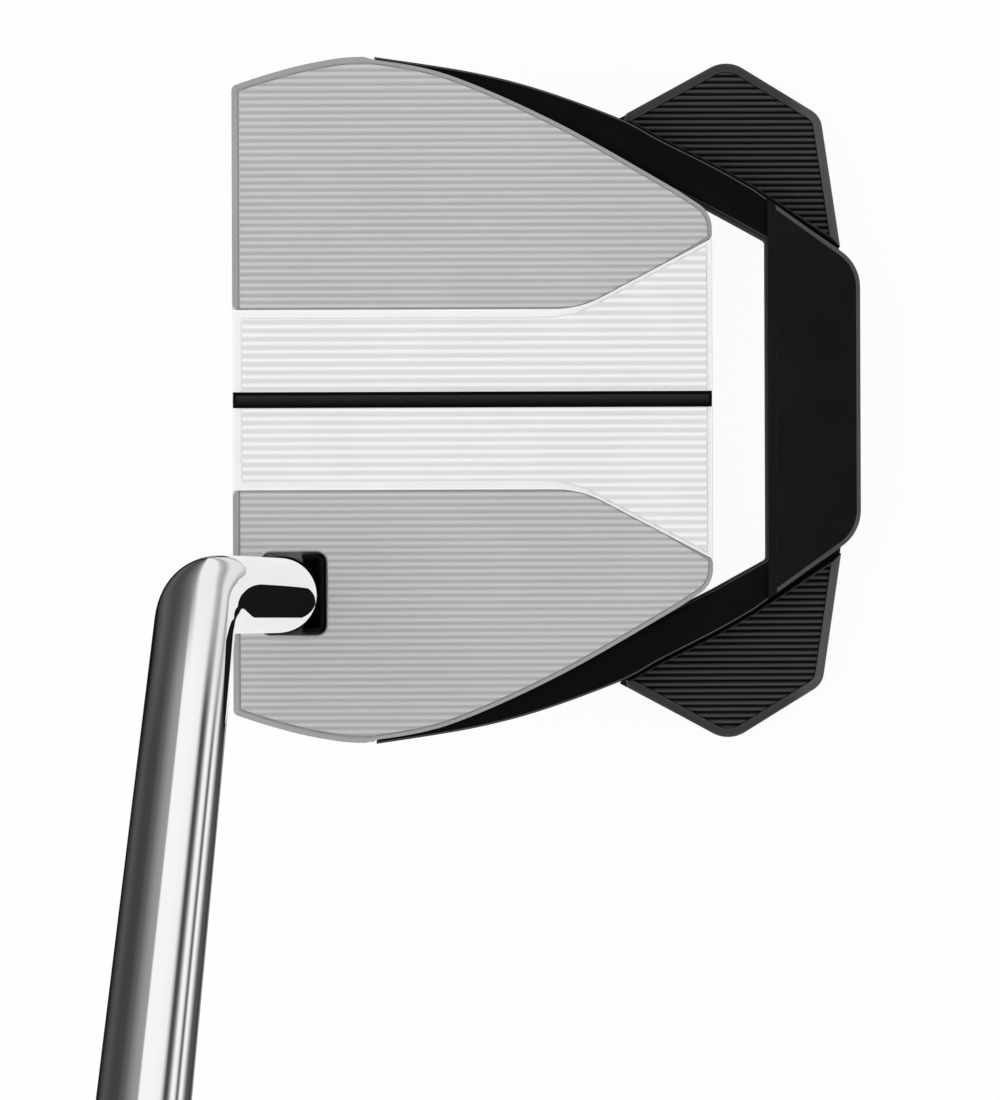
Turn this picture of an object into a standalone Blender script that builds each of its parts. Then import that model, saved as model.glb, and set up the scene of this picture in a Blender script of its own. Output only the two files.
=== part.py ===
"""Mallet putter: a ribbed two-plate crown on an aluminium front body, a black rear ring with a raised
crossbar and two corner wings, and a chromed single-offset shaft with its grip.

Frame: origin on the sole plane under the middle of the crown. +X runs from the face to the rear, +Y to the
toe and +Z up. Sizes below are in millimetres and become metres when a mesh or a modifier is made.
"""
import math

import bmesh
import bpy
from mathutils import Matrix, Vector

MM = 0.001
GAP = 0.3                   # glue line, seam or slip clearance between neighbouring pieces

# Crown: two grey plates either side of a white channel
CROWN_TOP = 25.0
CROWN_THICK = 3.9
CROWN_FRONT = 32.5          # face edge of the crown, ahead of the origin
CROWN_REAR = 32.55          # rear edge of the crown, behind the origin
HALF_WIDTH = 46.5           # widest point of the head, to heel or toe
SHOULDER_X = -14.6          # where the widest point lies
CROWN_CHAMFER = 0.55
FRONT_CORNER = 0.8          # radius in plan of the head's front corners
CHANNEL_HALF = 12.3         # half the channel's width over its parallel length
CHANNEL_FLARE_X = 14.6      # where the channel starts to widen
CHANNEL_REAR_HALF = HALF_WIDTH - 24.7   # half the channel's width at the rear edge
FLARE_RADIUS = 13.5
CHANNEL_SINK = 0.8          # depth of the channel's floor below the plates
CHANNEL_LIP = 1.1           # width of the slope round the channel's floor
CHANNEL_DROP = 0.1          # how far the channel's rim lies below the plates
LINE_WIDTH = 2.05           # sight line
LINE_DEPTH = 1.5            # depth of the line's slot below the channel's floor
LINE_DROP = 0.4             # how far the line's top lies below the plates

# Front body and what it holds
DECK_TOP = CROWN_TOP - CROWN_THICK - GAP
LOFT = math.radians(2.0)
LOFT_FADE_X = -24.0         # behind this the sides no longer lean with the face
SHELF_TOP = 8.7             # the ring's arms lie on this shelf
BODY_BOTTOM = 0.5
BODY_REAR = 31.0
BODY_REAR_HALF = HALF_WIDTH - 26.3
SHELF_REAR = 20.0           # rear end of the shelf's outer edge, under each arm
CAVITY_WALL = 5.0
CAVITY_ROOF = 3.2
CAVITY_FRONT = -15.0
CAVITY_REAR = 21.8
CORE_FIT = 0.45             # slack round the damping core
CORE_HEIGHT = 8.0
INSERT_HALF = 20.0
INSERT_BOTTOM = 4.2
INSERT_HEIGHT = 15.2
INSERT_DEPTH = 4.0
PAD_THICK = 0.8
GROOVE_PITCH = 1.3
GROOVE_WIDTH = 0.6
GROOVE_DEPTH = 0.35

# Sole plate
SOLE_THICK = 1.6
SOLE_RIM = 3.0
SOLE_CORNER = 5.0
SOLE_SCREWS = ((-21.2, 12.0), (25.0, 10.0))

# Rear ring
RING_BOTTOM = SHELF_TOP + GAP
RING_TOP = DECK_TOP
BAR_TOP = 22.4
BAR_FRONT = 40.15
BAR_REAR = 52.8
BAR_CORNER = 6.0
ARM_TIP_X = -13.2
RING_CHAMFER = 0.5

# Corner wings and their weights
WING_BOTTOM = 3.0
WING_TOP = 13.8
WING_RIM = 1.3
WING_RECESS = 0.5
WING_CORNER = 4.4           # radius of the wing's outermost corner, in plan
WING_SIDE_CORNER = 3.0
WEIGHT_AT = (38.6, HALF_WIDTH - 9.9)
WEIGHT_RADIUS = 6.0
WEIGHT_LENGTH = 7.0

# Shaft, its socket and the grip
SHAFT_AT = (-26.2, -26.44)  # axis of the socket bore
SHAFT_TIP_Z = 3.6
SHAFT_RADIUS_TIP = 4.97
SHAFT_RADIUS_BEND = 5.26
SHAFT_RADIUS_BUTT = 7.35
SHAFT_WALL = 0.55
SHAFT_SIDES = 28
SHAFT_TAPER_START = 260.0   # length of the parallel part above the upper bend
FIRST_BEND_Z = 30.0
FIRST_BEND_RADIUS = 18.0
CORNER = (-35.68, -26.02, 62.8)
CORNER_RADIUS = 46.9
LIE = math.radians(70.0)
CLUB_LENGTH = 864.0         # along the shaft from the ground to the butt
POCKET_FRONT = SHAFT_AT[0] - 2.5
POCKET_REAR = SHAFT_AT[0] + SHAFT_RADIUS_TIP + 1.38
POCKET_TOE = SHAFT_AT[1] + SHAFT_RADIUS_TIP + 0.87
POCKET_HEEL = SHAFT_AT[1] - SHAFT_RADIUS_TIP - 0.44
POCKET_CORNER = 1.3
POCKET_FLOOR = 18.0
LINER_WALL = 0.6
LINER_START = 3.0           # how far behind the bore's axis the liner starts
LINER_DROP = 0.2            # how far its lip lies below the crown
GRIP_LENGTH = 265.0
TAPE_THICK = 0.25
UNDERLIST_THICK = 1.6
GRIP_SKIN = 2.2
CAP_THICK = 5.0

# Screws
SCREW_RADIUS = 1.5
SCREW_HEAD_RADIUS = 2.2
SCREW_HEAD_HEIGHT = 1.7
SCREW_SIDES = 16
SOLE_SCREW_LENGTH = 9.0
RING_SCREW_LENGTH = 15.5
RING_SCREWS = ((1.5, HALF_WIDTH - 5.1), (12.0, HALF_WIDTH - 8.0))
WING_SCREW_LENGTH = 14.0
WING_SCREWS = ((26.5, HALF_WIDTH - 14.3), (44.5, HALF_WIDTH - 26.3))
HEX_RATIO = 0.5             # key socket across its corners, as a share of the head's diameter
HEX_DEPTH = 1.1

FACE_X = -CROWN_FRONT


def clear_scene():
    for item in list(bpy.data.objects):
        bpy.data.objects.remove(item, do_unlink=True)


def material(name, colour, roughness, metallic):
    found = bpy.data.materials.get(name)
    if found:
        return found
    made = bpy.data.materials.new(name)
    made.use_nodes = True
    shader = made.node_tree.nodes["Principled BSDF"]
    shader.inputs["Base Color"].default_value = (*colour, 1.0)
    shader.inputs["Roughness"].default_value = roughness
    shader.inputs["Metallic"].default_value = metallic
    return made


GREY = ("grey_anodised", (0.52, 0.52, 0.52), 0.42, 0.6)
WHITE = ("white_paint", (0.9, 0.9, 0.9), 0.35, 0.0)
BLACK = ("black_anodised", (0.012, 0.012, 0.013), 0.38, 0.4)
STEEL = ("brushed_steel", (0.6, 0.6, 0.61), 0.3, 1.0)
CHROME = ("chrome", (0.86, 0.86, 0.87), 0.06, 1.0)
POLYMER = ("insert_polymer", (0.78, 0.79, 0.8), 0.5, 0.0)
RUBBER = ("black_rubber", (0.02, 0.02, 0.021), 0.75, 0.0)
FOAM = ("damping_foam", (0.09, 0.1, 0.11), 0.9, 0.0)
TAPE = ("tape", (0.75, 0.72, 0.62), 0.8, 0.0)


# ---- outlines, in plan -------------------------------------------------------------------------------

def mirrored(points):
    """The same outline on the heel side, still running counter-clockwise."""
    return [(x, -y) for x, y in reversed(points)]


def smooth_curve(points, steps):
    """A Catmull-Rom curve through the points."""
    padded = [points[0], *points, points[-1]]
    made = []
    for index in range(1, len(padded) - 2):
        before, start, end, after = (Vector(p) for p in padded[index - 1:index + 3])
        for step in range(steps):
            t = step / steps
            made.append(tuple(0.5 * (2 * start + (end - before) * t
                                     + (2 * before - 5 * start + 4 * end - after) * t * t
                                     + (3 * start - before - 3 * end + after) * t ** 3)))
    made.append(points[-1])
    return made


def fillet(before, corner, after, radius, steps=6):
    """Points of the arc that rounds one corner."""
    corner = Vector(corner)
    back = (Vector(before) - corner).normalized()
    ahead = (Vector(after) - corner).normalized()
    half = back.angle(ahead) / 2
    reach = radius / math.tan(half)
    centre = corner + (back + ahead).normalized() * radius / math.sin(half)
    first = corner + back * reach - centre
    last = corner + ahead * reach - centre
    turn = first.angle(last)
    made = []
    for step in range(steps + 1):
        share = step / steps
        part = first * math.sin((1 - share) * turn) + last * math.sin(share * turn)
        made.append(tuple(centre + part / math.sin(turn)))
    return made


def rounded(corners, steps=6):
    """A closed outline from (x, y, radius) corners; radius 0 keeps the corner sharp."""
    made = []
    for index, (x, y, radius) in enumerate(corners):
        before = corners[index - 1][:2]
        after = corners[(index + 1) % len(corners)][:2]
        if radius:
            made.extend(fillet(before, (x, y), after, radius, steps))
        else:
            made.append((x, y))
    return made


def circle(centre, radius, sides):
    return [(centre[0] + radius * math.cos(2 * math.pi * k / sides),
             centre[1] + radius * math.sin(2 * math.pi * k / sides)) for k in range(sides)]


def offset(outline, distance):
    """A counter-clockwise outline moved inwards by distance (outwards when negative)."""
    made = []
    for index, point in enumerate(outline):
        here = Vector(point)
        before = (here - Vector(outline[index - 1])).normalized()
        after = (Vector(outline[(index + 1) % len(outline)]) - here).normalized()
        normal = Vector((-before.y - after.y, before.x + after.x)).normalized()
        lean = max(0.5, normal.dot(Vector((-before.y, before.x))))
        made.append(tuple(here + normal * distance / lean))
    return made


def shoulder():
    """Crown edge from the widest point forward to the face, toe side."""
    return smooth_curve([(SHOULDER_X, HALF_WIDTH), (-18.0, HALF_WIDTH - 0.2), (-23.4, HALF_WIDTH - 1.2),
                         (-28.8, HALF_WIDTH - 2.7), (FACE_X, HALF_WIDTH - 3.95)], 3)


def crown_sweep():
    """Crown edge from the rear corner forward to the widest point, toe side."""
    return smooth_curve([(28.1, HALF_WIDTH - 18.35), (11.8, HALF_WIDTH - 9.1), (-3.1, HALF_WIDTH - 2.5),
                         (-13.4, HALF_WIDTH - 0.35)], 6)


def crown_plate_outline():
    """Toe-side crown plate, counter-clockwise from its inner front corner."""
    rear_inner = (CROWN_REAR, CHANNEL_REAR_HALF)
    flare_start = (CHANNEL_FLARE_X, CHANNEL_HALF)
    inner = fillet((FACE_X, HALF_WIDTH), (FACE_X, CHANNEL_HALF), flare_start, 0.8, 3)
    flare = fillet((FACE_X, CHANNEL_HALF), flare_start, rear_inner, FLARE_RADIUS)
    tuck = fillet(flare_start, rear_inner, (CROWN_REAR, HALF_WIDTH), 0.9)
    sweep = crown_sweep()
    nose = fillet(rear_inner, (CROWN_REAR, HALF_WIDTH - 21.3), sweep[0], 4.0)
    edge = shoulder()
    front = fillet(edge[-2], edge[-1], (FACE_X, 0.0), FRONT_CORNER, 3)
    return [*inner, *flare, *tuck, *nose, *sweep, *edge[:-1], *front]


def arm_outer():
    """Outer edge of the ring from the crossbar's corner forward to the arm's tip, toe side."""
    wide = HALF_WIDTH
    sweep = [(38.4, wide - 17.9), (33.3, wide - 15.0), (25.6, wide - 11.1), (20.0, wide - 8.15),
             (9.1, wide - 4.16), (-0.5, wide - 1.75), (ARM_TIP_X, wide + 0.25)]
    corner = fillet((BAR_REAR, 0.0), (BAR_REAR, wide - 28.3), sweep[0], BAR_CORNER, 8)
    return [*corner, *smooth_curve(sweep, 4)]


def arm_inner(clearance=0.0):
    """Inner edge of the ring's arm from its tip back to the crossbar, toe side, moved in by clearance."""
    points = [(ARM_TIP_X, 3.5), (14.0, 11.2), (32.8, 20.65), (BAR_FRONT, 24.7)]
    return [(x, HALF_WIDTH - inwards - clearance) for x, inwards in points]


def ring_outline():
    inner = arm_inner()
    inside = fillet(inner[-2], inner[-1], (BAR_FRONT, 0.0), 1.2, 4)
    toe = [*arm_outer(), *inner[:-1], *inside]
    return [*toe, *mirrored(toe)]


def body_outline():
    """Front body in plan, with the shelves that the ring's arms rest on."""
    under_arm = [(x, y - GAP) for x, y in arm_outer() if x < SHELF_REAR]
    edge = shoulder()
    toe = [(BODY_REAR, BODY_REAR_HALF), (28.2, HALF_WIDTH - 19.2), (SHELF_REAR + 2.0, HALF_WIDTH - 15.0),
           *under_arm, *edge[:-1], *fillet(edge[-2], edge[-1], (FACE_X, 0.0), FRONT_CORNER, 3)]
    return [*toe, *mirrored(toe)]


def arm_bed_outline():
    """What is cut away above the shelf to make room for the ring's arm, toe side."""
    arm = arm_inner(GAP * 1.2)
    front = ARM_TIP_X - GAP
    beyond = (BODY_REAR + 10.0, HALF_WIDTH + 5.0)
    return [(front, beyond[1]), (front, arm[0][1]), arm[1], (beyond[0], HALF_WIDTH - 27.25), beyond]


def sole_outline():
    wide = HALF_WIDTH
    toe = [(BODY_REAR - SOLE_RIM, wide - 29.5, SOLE_CORNER), (13.0, wide - 14.5, SOLE_CORNER),
           (-14.0, wide - 6.5, SOLE_CORNER), (FACE_X + SOLE_RIM, wide - 8.5, SOLE_CORNER)]
    heel = [(x, -y, r) for x, y, r in reversed(toe)]
    return rounded([*toe, *heel])


def cavity_outline():
    outside = HALF_WIDTH - CAVITY_WALL
    toe = [(CAVITY_REAR, outside - 21.0, 3.0), (13.0, outside - 12.7, 3.0),
           (CAVITY_FRONT, outside - 5.5, 3.0)]
    heel = [(x, -y, r) for x, y, r in reversed(toe)]
    return rounded([*toe, *heel])


def channel_outline():
    """White channel: parallel at the front, flaring at the rear; the crown plates' inner edges less a gap."""
    half = CHANNEL_HALF - GAP
    rear = CHANNEL_REAR_HALF - GAP
    toe = [(CROWN_REAR, rear - 0.2, 0), (CHANNEL_FLARE_X, half, FLARE_RADIUS), (FACE_X, half, 0)]
    heel = [(x, -y, r) for x, y, r in reversed(toe)]
    return rounded([*toe, *heel])


def wing_outline():
    """Wing in plan: its outer corner, and a tongue that reaches in under the ring, clear of the window."""
    wide = HALF_WIDTH
    side, front = wing_corners()
    inside = [(41.4, wide - 24.9, 0.8), (41.4, wide - 30.6, 0.8), (47.0, wide - 30.6, 1.0)]
    return rounded([(50.6, wide - 26.3, 0.8), side, front, (20.2, wide - 7.6, 0.6), (22.6, wide - 15.2, 1.0),
                    (32.0, wide - 19.4, 2.0), *inside])


def wing_corners():
    """The wing's rear side corner and its outermost corner."""
    return (47.82, HALF_WIDTH - 7.55, WING_SIDE_CORNER), (35.0, HALF_WIDTH + 0.35, WING_CORNER)


def wing_top_outline():
    """The part of the wing that stands up beside the ring."""
    beside = [point for point in arm_outer() if 20.2 < point[0] < 50.0]
    inner = offset_open(beside, -GAP)
    outer = rounded([(50.47, HALF_WIDTH - 25.5, 0), *wing_corners(), (21.2, HALF_WIDTH - 7.15, 0)])
    return [*outer, *reversed(inner)]


def offset_open(points, distance):
    """An open run of points moved sideways; negative moves it to the right of its direction."""
    made = []
    for index, point in enumerate(points):
        before = Vector(points[max(index - 1, 0)])
        after = Vector(points[min(index + 1, len(points) - 1)])
        along = (after - before).normalized()
        made.append((point[0] - along.y * distance, point[1] + along.x * distance))
    return made


def pocket_outline(shrink):
    """Rounded rectangle of the shaft pocket, made smaller all round by shrink."""
    radius = max(POCKET_CORNER - shrink, 0.3)
    return rounded([(POCKET_REAR - shrink, POCKET_HEEL + shrink, radius),
                    (POCKET_REAR - shrink, POCKET_TOE - shrink, radius),
                    (POCKET_FRONT + shrink, POCKET_TOE - shrink, radius),
                    (POCKET_FRONT + shrink, POCKET_HEEL + shrink, radius)], 4)


# ---- solids ------------------------------------------------------------------------------------------

def mesh_object(name, bm, look):
    bmesh.ops.recalc_face_normals(bm, faces=bm.faces)
    mesh = bpy.data.meshes.new(name)
    bm.to_mesh(mesh)
    bm.free()
    made = bpy.data.objects.new(name, mesh)
    bpy.context.collection.objects.link(made)
    made.data.materials.append(material(*look))
    return made


def prism_mesh(outline, low, high):
    """A bmesh with the outline extruded from low to high."""
    bm = bmesh.new()
    bottom = [bm.verts.new((x * MM, y * MM, low * MM)) for x, y in outline]
    top = [bm.verts.new((x * MM, y * MM, high * MM)) for x, y in outline]
    bm.faces.new(bottom)
    bm.faces.new(top)
    for index in range(len(outline)):
        bm.faces.new((bottom[index - 1], bottom[index], top[index], top[index - 1]))
    return bm


def prism(name, outline, low, high, look):
    return mesh_object(name, prism_mesh(outline, low, high), look)


def layered(name, outline, low, layers, look):
    """A prism whose upper surface steps through (inset, height) layers, each inset further inwards."""
    bm = bmesh.new()
    rings = [[bm.verts.new((x * MM, y * MM, low * MM)) for x, y in outline]]
    for inset, height in layers:
        edge = offset(outline, inset) if inset else outline
        rings.append([bm.verts.new((x * MM, y * MM, height * MM)) for x, y in edge])
    for below, above in zip(rings, rings[1:]):
        bridge(bm, below, above)
    bm.faces.new(rings[0])
    bm.faces.new(rings[-1])
    return mesh_object(name, bm, look)


def chamfered(name, outline, low, high, chamfer, look):
    """A prism whose top edge has a flat chamfer, chamfer wide and two thirds as deep."""
    return layered(name, outline, low, [(0, high - chamfer * 2 / 3), (chamfer, high)], look)


def turned(name, profile, sides, look):
    """A solid turned about Z from (radius, z) points that start and end on the axis."""
    bm = bmesh.new()
    rings = []
    for radius, z in profile:
        if radius == 0:
            rings.append([bm.verts.new((0, 0, z * MM))])
            continue
        rings.append([bm.verts.new((x * MM, y * MM, z * MM)) for x, y in circle((0, 0), radius, sides)])
    for low, high in zip(rings, rings[1:]):
        for k in range(sides):
            quad = [low[k - 1], low[k], high[k], high[k - 1]] if len(low) > 1 and len(high) > 1 else \
                [low[0], high[k], high[k - 1]] if len(low) == 1 else [low[k - 1], low[k], high[0]]
            bm.faces.new(quad)
    return mesh_object(name, bm, look)


def hidden_cutter(item):
    item.hide_render = True
    item.display_type = "WIRE"
    return item


def boolean(target, tool, operation="DIFFERENCE"):
    change = target.modifiers.new(tool.name, "BOOLEAN")
    change.operation = operation
    change.object = tool
    hidden_cutter(tool)


def finish_smooth(item, angle=35.0):
    item.data.shade_smooth()
    item.data.set_sharp_from_angle(angle=math.radians(angle))


def cut_prism(target, name, outline, low, high):
    boolean(target, prism(name, outline, low, high, STEEL))


def cut_round(target, name, centre, radius, low, high, sides=24):
    cut_prism(target, name, circle(centre, radius, sides), low, high)


def both_sides(points):
    """Toe-side places and their heel-side mirror images, with a label for each."""
    for side, sign in (("toe", 1), ("heel", -1)):
        for index, (x, y) in enumerate(points, 1):
            yield f"{side}_{index}", (x, y * sign)


# ---- head --------------------------------------------------------------------------------------------

def lofted(item):
    """Lean the face plane: the lower the material on the face, the further forward it comes."""
    for vertex in item.data.vertices:
        share = (vertex.co.x / MM - LOFT_FADE_X) / (FACE_X - LOFT_FADE_X)
        drop = CROWN_TOP * MM - vertex.co.z
        vertex.co.x -= drop * math.tan(LOFT) * min(max(share, 0.0), 1.0)


def build_front_body():
    body = prism("front_body", body_outline(), BODY_BOTTOM, DECK_TOP, GREY)
    lofted(body)
    cut_prism(body, "cut_toe_bed", arm_bed_outline(), SHELF_TOP, DECK_TOP + 1.0)
    cut_prism(body, "cut_heel_bed", mirrored(arm_bed_outline()), SHELF_TOP, DECK_TOP + 1.0)
    cut_prism(body, "cut_sole", offset(sole_outline(), -GAP), BODY_BOTTOM - 1.0, SOLE_THICK + GAP)
    cut_prism(body, "cut_cavity", cavity_outline(), SOLE_THICK - 1.0, DECK_TOP - CAVITY_ROOF)
    face = box_mesh(FACE_X - 3.0, FACE_X + INSERT_DEPTH + PAD_THICK + 2 * GAP, -INSERT_HALF - GAP,
                    INSERT_HALF + GAP, INSERT_BOTTOM - GAP, INSERT_BOTTOM + INSERT_HEIGHT + GAP)
    boolean(body, mesh_object("cut_face", face, STEEL))
    cut_round(body, "cut_bore", SHAFT_AT, SHAFT_RADIUS_TIP + GAP, SHAFT_TIP_Z - GAP, DECK_TOP + 1.0, 32)
    cut_prism(body, "cut_pocket", pocket_outline(0.0), POCKET_FLOOR - GAP, DECK_TOP + 1.0)
    for label, place in both_sides(SOLE_SCREWS):
        cut_round(body, f"cut_sole_screw_{label}", place, SCREW_RADIUS + GAP, 0.0,
                  SOLE_SCREW_LENGTH + 2 * GAP, SCREW_SIDES)
    for label, place in both_sides(RING_SCREWS):
        cut_round(body, f"cut_ring_screw_{label}", place, SCREW_RADIUS + GAP, 0.0, SHELF_TOP + 1.0,
                  SCREW_SIDES)
        cut_round(body, f"cut_ring_head_{label}", place, SCREW_HEAD_RADIUS + GAP, 0.0,
                  BODY_BOTTOM + SCREW_HEAD_HEIGHT + 2 * GAP, SCREW_SIDES)
    return body


def box_mesh(x0, x1, y0, y1, z0, z1):
    return prism_mesh([(x0, y0), (x1, y0), (x1, y1), (x0, y1)], z0, z1)


def build_insert():
    """Grooved polymer insert and its bonding pad, both leaning with the face."""
    lean = math.tan(LOFT)
    top = INSERT_BOTTOM + INSERT_HEIGHT

    def face_at(z):
        return FACE_X - (CROWN_TOP - z) * lean

    front = [(face_at(INSERT_BOTTOM) + 0.2, INSERT_BOTTOM)]
    count = int((INSERT_HEIGHT - 2.0) / GROOVE_PITCH)
    first = INSERT_BOTTOM + (INSERT_HEIGHT - count * GROOVE_PITCH + GROOVE_PITCH - GROOVE_WIDTH) / 2
    for index in range(count):
        low = first + index * GROOVE_PITCH
        high = low + GROOVE_WIDTH
        front += [(face_at(low) + 0.2, low), (face_at(low) + 0.2 + GROOVE_DEPTH, low + 0.1),
                  (face_at(high) + 0.2 + GROOVE_DEPTH, high - 0.1), (face_at(high) + 0.2, high)]
    front.append((face_at(top) + 0.2, top))
    back = FACE_X + INSERT_DEPTH
    profile = [*front, (back, top), (back, INSERT_BOTTOM)]
    insert = slab_along_y("face_insert", profile, INSERT_HALF, POLYMER)
    pad = mesh_object("insert_pad", box_mesh(back + GAP, back + GAP + PAD_THICK, -INSERT_HALF, INSERT_HALF,
                                             INSERT_BOTTOM, top), FOAM)
    return insert, pad


def slab_along_y(name, profile, half, look):
    """An (x, z) profile extruded from heel to toe."""
    bm = bmesh.new()
    heel = [bm.verts.new((x * MM, -half * MM, z * MM)) for x, z in profile]
    toe = [bm.verts.new((x * MM, half * MM, z * MM)) for x, z in profile]
    bm.faces.new(heel)
    bm.faces.new(toe)
    for index in range(len(profile)):
        bm.faces.new((heel[index - 1], heel[index], toe[index], toe[index - 1]))
    return mesh_object(name, bm, look)


def build_crown():
    outline = crown_plate_outline()
    low = CROWN_TOP - CROWN_THICK
    chamfered("crown_toe_plate", outline, low, CROWN_TOP, CROWN_CHAMFER, GREY)
    heel = chamfered("crown_heel_plate", mirrored(outline), low, CROWN_TOP, CROWN_CHAMFER, GREY)
    cut_prism(heel, "cut_plate_pocket", pocket_outline(0.0), low - 1.0, CROWN_TOP + 1.0)
    cut_round(heel, "cut_plate_bore", SHAFT_AT, SHAFT_RADIUS_TIP + GAP, low - 1.0, CROWN_TOP + 1.0, 32)


def build_channel():
    """White channel with a sunken floor, slotted for the black sight line."""
    outline = channel_outline()
    low = CROWN_TOP - CROWN_THICK
    floor = CROWN_TOP - CHANNEL_SINK
    top = CROWN_TOP - CHANNEL_DROP
    channel = layered("alignment_channel", outline, low,
                      [(0, top - 0.1), (0.15, top), (0.3, top), (CHANNEL_LIP, floor)], WHITE)
    slot = LINE_WIDTH / 2 + GAP
    boolean(channel, mesh_object("cut_line", box_mesh(FACE_X - 2, CROWN_REAR + 2, -slot, slot,
                                                      floor - LINE_DEPTH - GAP, CROWN_TOP + 1), WHITE))
    half = LINE_WIDTH / 2
    ends = (FACE_X + 0.1, CROWN_REAR - 0.1)
    strip = [(ends[0], -half), (ends[1], -half), (ends[1], half), (ends[0], half)]
    chamfered("sight_line", strip, floor - LINE_DEPTH, CROWN_TOP - LINE_DROP, 0.25, BLACK)


def build_ring():
    ring = chamfered("rear_ring", ring_outline(), RING_BOTTOM, RING_TOP, RING_CHAMFER, BLACK)
    bar = [point for point in arm_outer() if point[0] > BAR_FRONT + 0.6]
    edge = (BAR_FRONT, bar[-1][1] + (bar[-1][0] - BAR_FRONT) * 0.72)
    toe = [*bar, edge]
    block = chamfered("ring_bar", [*toe, *mirrored(toe)], RING_TOP - 2.0, BAR_TOP, RING_CHAMFER * 2, BLACK)
    boolean(ring, block, "UNION")
    for label, place in both_sides(RING_SCREWS):
        cut_round(ring, f"cut_ring_thread_{label}", place, SCREW_RADIUS + GAP, RING_BOTTOM - 1.0,
                  BODY_BOTTOM + RING_SCREW_LENGTH + 2 * GAP, SCREW_SIDES)
    for label, place in both_sides(WING_SCREWS):
        cut_round(ring, f"cut_wing_thread_{label}", place, SCREW_RADIUS + GAP, RING_BOTTOM - 1.0,
                  WING_BOTTOM + WING_SCREW_LENGTH + 2 * GAP, SCREW_SIDES)


def build_wing(side, sign):
    """Wing: a tongue under the ring and a raised, recessed corner beside it."""
    def placed(outline):
        return outline if sign > 0 else mirrored(outline)

    wing = prism(f"{side}_wing", placed(wing_outline()), WING_BOTTOM, SHELF_TOP, BLACK)
    floor = WING_TOP - WING_RECESS
    top = layered(f"{side}_wing_top", placed(wing_top_outline()), SHELF_TOP - 1.0,
                  [(0, WING_TOP - 0.25), (0.35, WING_TOP), (WING_RIM, WING_TOP), (WING_RIM + 0.2, floor)],
                  BLACK)
    boolean(wing, top, "UNION")
    place = (WEIGHT_AT[0], WEIGHT_AT[1] * sign)
    cut_round(wing, f"cut_{side}_weight", place, WEIGHT_RADIUS + GAP, WING_BOTTOM - 1.0,
              WING_BOTTOM + WEIGHT_LENGTH + GAP, 32)
    for index, (x, y) in enumerate(WING_SCREWS, 1):
        cut_round(wing, f"cut_{side}_screw_{index}", (x, y * sign), SCREW_RADIUS + GAP, WING_BOTTOM - 1.0,
                  RING_BOTTOM + 1.0, SCREW_SIDES)
        cut_round(wing, f"cut_{side}_head_{index}", (x, y * sign), SCREW_HEAD_RADIUS + GAP,
                  WING_BOTTOM - 1.0, WING_BOTTOM + SCREW_HEAD_HEIGHT + 2 * GAP, SCREW_SIDES)


def build_weight(side, sign):
    """Threaded weight with a key socket in its outer face."""
    slim = WEIGHT_RADIUS - 0.4
    profile = [(0, 0.2), (WEIGHT_RADIUS - 0.3, 0.2), (WEIGHT_RADIUS, 0.5), (WEIGHT_RADIUS, 1.6), (slim, 1.9),
               (slim, WEIGHT_LENGTH - 0.4), (slim - 0.4, WEIGHT_LENGTH), (0, WEIGHT_LENGTH)]
    weight = turned(f"{side}_weight", profile, 32, STEEL)
    weight.location = (WEIGHT_AT[0] * MM, WEIGHT_AT[1] * sign * MM, WING_BOTTOM * MM)
    socket = prism(f"cut_{side}_weight_key", circle((0, 0), 2.6, 6), -1.0, 2.8, STEEL)
    socket.location = weight.location
    boolean(weight, socket)
    finish_smooth(weight)


def build_screw(name, place, base, length):
    """Flat-headed screw standing head down on base."""
    profile = [(0, 0.1), (SCREW_HEAD_RADIUS - 0.2, 0.1), (SCREW_HEAD_RADIUS, 0.3),
               (SCREW_HEAD_RADIUS, 0.5), (SCREW_RADIUS, SCREW_HEAD_HEIGHT), (SCREW_RADIUS, length - 0.4),
               (SCREW_RADIUS - 0.4, length), (0, length)]
    screw = turned(name, profile, SCREW_SIDES, STEEL)
    screw.location = (place[0] * MM, place[1] * MM, base * MM)
    key = prism(f"key_{name}", circle((0, 0), SCREW_HEAD_RADIUS * HEX_RATIO, 6), -1.0, HEX_DEPTH, STEEL)
    key.location = screw.location
    boolean(screw, key)
    finish_smooth(screw)


def build_sole():
    sole = prism("sole_plate", sole_outline(), 0.0, SOLE_THICK, STEEL)
    for label, place in both_sides(SOLE_SCREWS):
        cut_round(sole, f"cut_plate_hole_{label}", place, SCREW_HEAD_RADIUS + GAP, -1.0, SOLE_THICK + 1.0,
                  SCREW_SIDES)
        build_screw(f"sole_screw_{label}", place, 0.0, SOLE_SCREW_LENGTH)


def build_socket_liner():
    """Black half cup behind the shaft, lining the part of the pocket that the shaft leaves open."""
    liner = prism("socket_liner", pocket_outline(GAP), POCKET_FLOOR, CROWN_TOP - LINER_DROP, RUBBER)
    cut_prism(liner, "cut_liner_hollow", pocket_outline(GAP + LINER_WALL), POCKET_FLOOR + LINER_WALL,
              CROWN_TOP + 1.0)
    cut_round(liner, "cut_liner_bore", SHAFT_AT, SHAFT_RADIUS_TIP + GAP, POCKET_FLOOR - 1.0,
              CROWN_TOP + 1.0, 32)
    front = box_mesh(POCKET_FRONT - 1.0, SHAFT_AT[0] + LINER_START, POCKET_HEEL - 1.0, POCKET_TOE + 1.0,
                     POCKET_FLOOR - 1.0, CROWN_TOP + 1.0)
    boolean(liner, mesh_object("cut_liner_front", front, RUBBER))


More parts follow.
